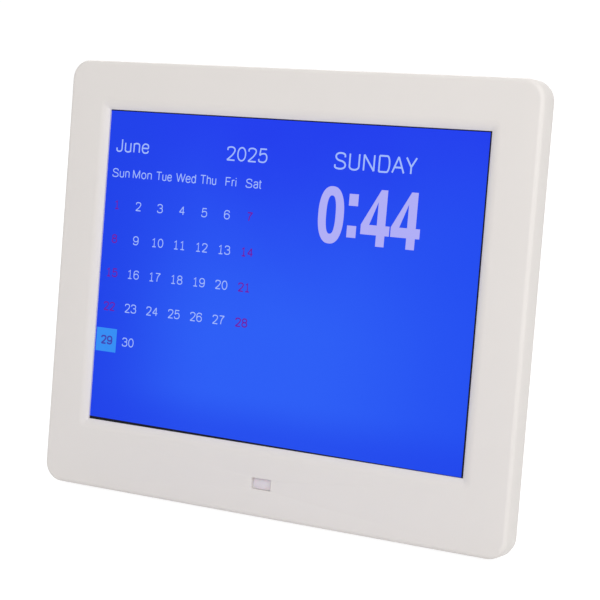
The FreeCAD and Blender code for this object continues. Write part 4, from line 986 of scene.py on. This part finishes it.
@dataclass
class Display:
    """The lit image behind the opening, with its month page, weekday and time, in mm of the image.

    The image is turned, shifted, slanted and squeezed a little in its opening. Columns and rows of the month
    are given by the middle of the first and the step to the next. Levels are counted in layers from the ground.
    """

    middle: Pair = (-0.15, 87.85)
    turn: float = math.radians(-0.117)
    shift: Pair = (-0.67, 0.36)
    slant: float = 0.0041
    squeeze: float = 0.0042
    depth: float = 2.27
    layer: float = 0.03
    hair: float = 0.02
    columns: Pair = (-75.0, 10.18)
    rows: Pair = (23.5, 13.36)
    digit: float = 3.55
    digit_width: float = 2.6
    digit_advance: float = 2.85
    narrow: float = 0.23
    day_stroke: float = 0.38
    weekend_stroke: float = 0.50
    today_stroke: float = 0.62
    month_stroke: float = 0.56
    weekday_stroke: float = 0.66
    corners: tuple[Pair, ...] = ((-82.3, -60.85), (81.6, -61.45), (81.0, 60.6), (-82.3, 60.25))

    def place(self, x: Array, up: Array, level: float | Array) -> Array:
        """World points of places on the image, level layers in front of its ground."""
        x, up = x + self.shift[0] + self.slant * up, up * (1 - self.squeeze) + self.shift[1]
        cosine, sine = math.cos(self.turn), math.sin(self.turn)
        across = self.middle[0] + x * cosine - up * sine
        rise = self.middle[1] + x * sine + up * cosine
        return LEAN.place(across, rise, self.depth - level * self.layer)

    def filled(self, name: str, outlines: list[Array]) -> Piece:
        """Fill closed outlines on the image; an outline inside another is a hole.

        Args:
            name: Name of the piece.
            outlines: Rows of x and up.

        Returns:
            The new object, facing the viewer from the first layer.
        """
        drawing = bpy.data.curves.new(name, "CURVE")
        drawing.dimensions = "2D"
        drawing.fill_mode = "BOTH"
        for outline in outlines:
            spline = drawing.splines.new("POLY")
            spline.points.add(len(outline) - 1)
            spline.points.foreach_set("co", np.insert(outline, [2, 2], (0, 1), axis=1).ravel())
            spline.use_cyclic_u = True
        holder = link("ink", drawing)
        graph = bpy.context.evaluated_depsgraph_get()
        mesh = bpy.data.meshes.new_from_object(holder.evaluated_get(graph))
        bpy.data.objects.remove(holder)
        work = bmesh.new()
        work.from_mesh(mesh)
        bmesh.ops.remove_doubles(work, verts=work.verts, dist=1e-5)
        bmesh.ops.triangulate(work, faces=work.faces)
        for face in work.faces:
            if face.normal.z < 0:
                face.normal_flip()
        work.to_mesh(mesh)
        work.free()
        points = np.zeros(len(mesh.vertices) * 3)
        mesh.vertices.foreach_get("co", points)
        corners = np.zeros(len(mesh.loops), int)
        mesh.loops.foreach_get("vertex_index", corners)
        bpy.data.meshes.remove(mesh)
        x, up, _ = points.reshape(-1, 3).T
        return solid_mesh(name, self.place(x, up, 1.0), corners.reshape(-1, 3))

    def written(self, name: str, pieces: list[tuple[str, Box]], stroke: float, level: float = 1.0) -> Piece:
        """Lettering on the image as one piece; each next stroke of a text lies a hair nearer the viewer.

        Args:
            name: Name of the piece.
            pieces: Texts, each with the left, right, low and high of its ink.
            stroke: Width of the strokes.
            level: Layers in front of the ground.

        Returns:
            The new object.
        """
        points, faces = joined([write(text, box, stroke) for text, box in pieces])
        x, up, order = points.T
        return solid_mesh(name, self.place(x, up, level + order * self.hair), faces)

    def cell(self, day: int) -> tuple[str, Box]:
        """A day's number and the box of its ink, which is narrower where it starts or ends with a one."""
        text = str(day)
        column, row = (day - 1) % 7, (day - 1) // 7
        across, up = self.columns[0] + column * self.columns[1], self.rows[0] - row * self.rows[1]
        reach = (self.digit_advance * (len(text) - 1) + self.digit_width) / 2
        left = across - reach + self.narrow * (text[0] == "1")
        right = across + reach - self.narrow * (text[-1] == "1")
        return text, (left, right, up - self.digit / 2, up + self.digit / 2)

    def plate(self, name: str, box: Box, steps: int, level: float) -> Piece:
        """A flat rectangle of the image as a grid of steps by steps faces, facing the viewer."""
        left, right, low, high = box
        x, up = np.meshgrid(np.linspace(left, right, steps + 1), np.linspace(low, high, steps + 1))
        return grid_mesh(name, self.place(x, up, level), wrap_columns=False)

    def ground(self, steps: int = 24) -> Piece:
        """The lit ground between its four corners: (1 - u)(1 - v) a + u (1 - v) b + u v c + (1 - u) v d."""
        u, v = np.meshgrid(*[np.linspace(0, 1, steps + 1)] * 2)
        shares = ((1 - u) * (1 - v), u * (1 - v), u * v, (1 - u) * v)
        x, up = (sum(share * corner[axis] for share, corner in zip(shares, self.corners)) for axis in (0, 1))
        return grid_mesh("lit_ground", self.place(x, up, 0.0), wrap_columns=False)

    def zero(self) -> list[Array]:
        """Outlines of the tall zero: x = a |cos t|^(2/n) and up = b |sin t|^(2/n), with their signs."""
        turn = np.linspace(0, 2 * math.pi, 72, endpoint=False)

        def oval(across: float, up: float, half: float, tall: float, power: float) -> Array:
            """One outline about its middle."""
            x, y = (np.sign(part) * np.abs(part) ** (2 / power) for part in (np.cos(turn), np.sin(turn)))
            return np.stack([across + x * half, up + y * tall], axis=-1)

        return [oval(20.55, 26.95, 5.35, 10.55, 2.35), oval(20.5, 27.05, 1.95, 7.05, 2.5)]

    def four(self, left: float) -> list[Array]:
        """Outlines of the tall four whose left point is at left: the figure, and the hole in its crook."""
        figure = line(7.33, 37.5, 9.95, 37.5, 9.95, 24.55, 11.7, 24.55, 11.7, 20.95, 9.95, 20.95,
                      9.95, 16.9, 6.5, 16.9, 6.5, 20.95, 0.0, 20.95, 0.0, 24.5)
        crook = line(6.5, 33.0, 6.5, 24.55, 3.35, 24.55)
        return [outline + (left, 0) for outline in (figure, crook)]

    def build(self) -> None:
        """Make the image, its lettering and the dark margin round it."""
        dress_node("lcd_glass")
        header = (
            ("Sun", (-78.3, -70.2, 34.3, 37.8)), ("Mon", (-68.6, -59.7, 34.3, 37.75)),
            ("Tue", (-57.7, -50.4, 34.3, 37.75)), ("Wed", (-48.4, -39.3, 34.3, 37.85)),
            ("Thu", (-37.4, -30.1, 34.3, 37.85)), ("Fri", (-25.9, -21.1, 34.3, 37.85)),
            ("Sat", (-16.9, -9.9, 34.3, 37.8)),
        )
        weekend = [self.cell(day) for day in range(1, 29) if day % 7 in (0, 1)]
        week = [self.cell(day) for day in range(1, 31) if day % 7 not in (0, 1)]
        pieces = [(self.ground(), Finish.GROUND)]
        for name, texts, stroke, level, finish in (
            ("word_month", [("June", (-77.4, -62.0, 44.2, 49.5))], self.month_stroke, 1.0, Finish.PALE),
            ("word_year", [("2025", (-26.4, -8.4, 44.0, 49.5))], self.month_stroke, 1.0, Finish.PALE),
            ("word_weekday", [("SUNDAY", (20.1, 53.8, 43.7, 50.15))], self.weekday_stroke, 1.0, Finish.PALE),
            ("words_header", header, self.day_stroke, 1.0, Finish.PALE),
            ("days_week", week, self.day_stroke, 1.0, Finish.PALE),
            ("days_weekend", weekend, self.weekend_stroke, 1.0, Finish.WEEKEND),
            ("today_number", [self.cell(29)], self.today_stroke, 1.4, Finish.TODAY_NUMBER),
        ):
            pieces.append((self.written(name, texts, stroke, level), finish))
        pieces.append((self.plate("today_cell", (-80.0, -70.4, -34.6, -25.3), 4, 0.6), Finish.TODAY))
        for name, outlines in (
            ("time_hour", self.zero()), ("time_tens", self.four(33.2)), ("time_units", self.four(45.4)),
        ):
            pieces.append((self.filled(name, outlines), Finish.TIME))
        for name, low in (("time_dot_high", 30.9), ("time_dot_low", 19.3)):
            pieces.append((self.plate(name, (27.6, 31.4, low, low + 4.35), 2, 1.0), Finish.TIME))
        for piece, finish in pieces:
            mount(piece, "case", finish)


@dataclass
class RearShell:
    """Back cover with its screws, keyholes, vents and sound holes, and the feet below it."""

    rounding: float = 0.22

    def build(self) -> None:
        """Soften the cover's edges and dress what is fixed to it."""
        mount(softened("rear_shell", "back_cover", self.rounding), "case", Finish.REAR)
        mount(softened("feet", "rubber_feet", 0.2), "case", Finish.RUBBER)
        for node in ("case_screws", "hinge_pin"):
            dress_node(node)


@dataclass
class Leg:
    """Fold-out leg and its rubber tip."""

    def build(self) -> None:
        """Soften the leg's edges and dress it."""
        mount(softened("leg_plate", "stand_leg", 0.35, 3), "stand", Finish.LEG)
        mount(softened("leg_boot", "leg_tip", 0.3, 3), "stand", Finish.RUBBER)


@dataclass
class Controls:
    """Seven round caps with generic signs, in mm."""

    radius: float = 3.5
    outer: float = 24.5
    flange: float = 4.5
    flange_depths: Pair = (21.2, 21.9)
    stem: float = 1.5
    stem_depth: float = 21.1
    edge: float = 0.45
    stroke: float = 0.42
    raised: float = 0.05
    sunk: float = 0.01

    def cap(self, word: str, centre: Pair) -> Piece:
        """One cap, turned from its stem out to a flat top with a rounded edge."""
        front, rear = self.flange_depths
        rim = arc((self.radius - self.edge, self.outer - self.edge), self.edge, 0, 90, 6)
        profile = np.vstack([
            [(0, self.stem_depth), (self.stem, self.stem_depth), (self.stem, front), (self.flange, front)],
            [(self.flange, rear), (self.radius, rear)],
            rim,
            [(0, self.outer)],
        ])
        return turned("cap_" + word, centre, profile)

    def strokes(self, word: str) -> list[Array]:
        """Closed outlines of a sign about its own middle, in mm, as seen from behind the clock.

        A bar between two points is a rectangle of the stroke's width; an arrow is a triangle.
        """
        half = self.stroke / 2

        def bar(start: Pair, end: Pair) -> Array:
            """A straight stroke."""
            first, last = line(*start, *end)
            along = (last - first) / np.linalg.norm(last - first)
            side = np.array([-along[1], along[0]]) * half
            return np.array([first + side, first - side, last - side, last + side])

        def ring(radius: float, start: float, end: float) -> Array:
            """A round stroke between two angles."""
            outside = arc((0, 0), radius + half, start, end, steps=20)
            return np.vstack([outside, arc((0, 0), radius - half, end, start, steps=20)])

        arrow = line(-1.3, 0.0, 0.8, -1.25, 0.8, 1.25)
        turns = {"left": 0, "down": 90, "right": 180, "up": 270}
        if word in turns:
            angle = math.radians(turns[word])
            spin = np.array([(math.cos(angle), math.sin(angle)), (-math.sin(angle), math.cos(angle))])
            return [arrow @ spin]
        if word == "menu":
            return [bar((-1.3, up), (1.3, up)) for up in (-0.9, 0.0, 0.9)]
        if word == "power":
            return [ring(1.3, 125, 415), bar((0, 0.4), (0, 1.9))]
        tip = line(-1.7, -0.1, -0.7, -0.9, -0.7, 0.7)
        return [bar((-1.5, -0.1), (1.2, -0.1)), bar((1.2, 0.0), (1.2, 1.3)), tip]

    def sign(self, word: str, centre: Pair) -> Piece:
        """A cap's sign as a thin raised plate."""
        points, faces, count = [], [], 0
        for outline in self.strokes(word):
            size = len(outline)
            for depth in (self.outer - self.sunk, self.outer + self.raised):
                points.append(LEAN.place(centre[0] - outline[:, 0], centre[1] + outline[:, 1], depth))
            here = np.arange(size) + count
            follow = np.roll(here, -1)
            faces += np.stack([here, follow, follow + size, here + size], axis=-1).tolist()
            faces += [here[::-1].tolist(), (here + size).tolist()]
            count += 2 * size
        mesh = bpy.data.meshes.new("sign_" + word)
        mesh.from_pydata(np.vstack(points).tolist(), [], faces)
        work = bmesh.new()
        work.from_mesh(mesh)
        bmesh.ops.triangulate(work, faces=[face for face in work.faces if len(face.verts) > 4])
        bmesh.ops.recalc_face_normals(work, faces=work.faces)
        work.to_mesh(mesh)
        work.free()
        shade(mesh)
        return link("sign_" + word, mesh)

    def build(self) -> None:
        """Make each cap and its sign."""
        for word in ("power", "menu", "left", "up", "down", "right", "exit"):
            centre = LEAN.middle("button_" + word)[:2]
            body = "key_" + word
            cap = self.cap(word, centre)
            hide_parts("button_" + word)
            mount(cap, body, Finish.CAP)
            mount(self.sign(word, centre), body, Finish.MARK)


@dataclass
class Sockets:
    """Power inlet, USB socket and card socket in the left wall of the hump."""

    def build(self) -> None:
        """Dress the sockets."""
        mount(softened("inlet_body", "dc_jack", 0.2), "case", Finish.BLACK)
        mount(softened("usb_shell", "usb_port", 0.08), "case", Finish.STEEL)
        for node in ("dc_jack_pin", "usb_tongue", "sd_socket"):
            dress_node(node)


@dataclass
class Innards:
    """Boards, display module, loudspeaker and wires inside the casing."""

    nodes: tuple[str, ...] = (
        "lcd_gasket", "diffuser_films", "reflector_sheet", "light_guide", "led_strip", "lcd_rear_tray",
        "lcd_flex", "flex_connector", "lcd_clamps", "clamp_screws", "ir_receiver", "ir_board",
        "receiver_screws", "receiver_wires", "main_board", "board_screws", "processor_chip",
        "memory_chips", "crystal", "capacitors", "coin_cell_holder", "coin_cell", "speaker_frame",
        "speaker_cone", "speaker_magnet", "speaker_cloth", "speaker_wires", "tact_switches",
        "button_board", "key_board_screws", "key_ribbon",
    )

    def build(self) -> None:
        """Dress each CAD node; the display's frame is as dark as the margin of the glass before it."""
        for node in self.nodes:
            dress_node(node)
        dress_node("lcd_front_frame", Finish.BLACK)


# Studio


@dataclass(frozen=True)
class Lamp:
    """A soft square lamp that faces a point over the middle of the footprint, in metres and watts."""

    name: str
    place: Triple
    target: float
    side: float
    power: float

    def build(self) -> None:
        """Put the lamp into the scene."""
        light = bpy.data.lights.new(self.name, "AREA")
        light.shape = "RECTANGLE"
        light.size = light.size_y = self.side
        light.energy = self.power
        aimed(self.name, light, self.place, Vector((0, 0, self.target)) - Vector(self.place))


@dataclass
class Studio:
    """Floor, lamps, white surroundings and the camera, in metres; the camera's lens and sensor are in mm."""

    lens: float = 108.66
    sensor: float = 36.0
    nearest: float = 0.01
    camera: Triple = (0.3388, -0.5795, 0.2146)
    forward: Triple = (-0.4918, 0.8482, -0.1963)
    world: float = 0.50
    floor_half: float = 12.0
    floor_glow: float = 0.93
    floor_pale: Colour = (0.95, 0.95, 0.95)
    floor_dull: Colour = (0.93, 0.93, 0.93)
    floor_shadow: Colour = (0.22, 0.22, 0.22)
    lamps: tuple[Lamp, ...] = (
        Lamp("key", (0.72, -1.00, 0.90), 0.08, 0.9, 10.0),
        Lamp("side", (1.25, 0.05, 0.35), 0.08, 0.8, 1.3),
        Lamp("top", (0.1, 0.15, 1.2), 0.16, 0.8, 2.2),
        Lamp("back", (-0.7, 1.2, 0.8), 0.08, 0.9, 6.0),
    )

    def surroundings(self) -> None:
        """White to the camera and in reflections, and an even soft light for everything else."""
        world = bpy.data.worlds.new("studio")
        bpy.context.scene.world = world
        graph = Graph("studio", world)
        soft, white = (
            graph.node("ShaderNodeBackground", {}, {"Color": (1, 1, 1), "Strength": strength})
            for strength in (self.world, 1.0)
        )
        blend = graph.node("ShaderNodeMixShader", {}, {0: graph.looked_at(), 1: soft, 2: white})
        graph.end(blend, "ShaderNodeOutputWorld")

    def floor(self) -> None:
        """A pale floor that looks white to the camera and still takes the clock's shadow."""
        half = self.floor_half
        x, y = np.meshgrid((-half, half), (-half, half))
        piece = grid_mesh("floor", np.stack([x, y, np.zeros_like(x)], axis=-1), wrap_columns=False)
        piece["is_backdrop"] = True
        graph = Graph("floor")
        ground = graph.mix(graph.noise(graph.place(), 40.0), self.floor_pale, self.floor_dull)
        pale, thin = (
            graph.node("ShaderNodeBsdfDiffuse", {}, {"Color": colour}) for colour in (ground, self.floor_shadow)
        )
        glow = graph.node("ShaderNodeEmission", {}, {"Strength": self.floor_glow})
        bright = graph.node("ShaderNodeAddShader", {}, {0: thin, 1: glow})
        shown = graph.node("ShaderNodeMixShader", {}, {0: graph.looked_at(), 1: pale, 2: bright})
        piece.data.materials.append(graph.end(shown))

    def view(self) -> None:
        """The camera, level and looking along the fitted line."""
        data = bpy.data.cameras.new("camera")
        data.lens, data.sensor_width, data.clip_start = self.lens, self.sensor, self.nearest
        bpy.context.scene.camera = aimed("camera", data, self.camera, Vector(self.forward))

    def build(self) -> None:
        """Set up the whole studio."""
        bpy.context.scene.view_settings.view_transform = "Standard"
        self.surroundings()
        self.floor()
        for lamp in self.lamps:
            lamp.build()
        self.view()
        LOG.info("studio ready")


def main() -> None:
    """Build every sub-assembly in order."""
    logging.basicConfig(level=logging.INFO, format="%(name)s: %(message)s")
    for part in (Studio(), Casing(), Display(), RearShell(), Leg(), Controls(), Sockets(), Innards()):
        part.build()
    bpy.context.view_layer.update()
    boxes = {"cad": CAD_BOX, "visual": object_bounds()}
    {name: [list(corner) for corner in box] for name, box in boxes.items()}


if __name__ == "__main__":
    main()
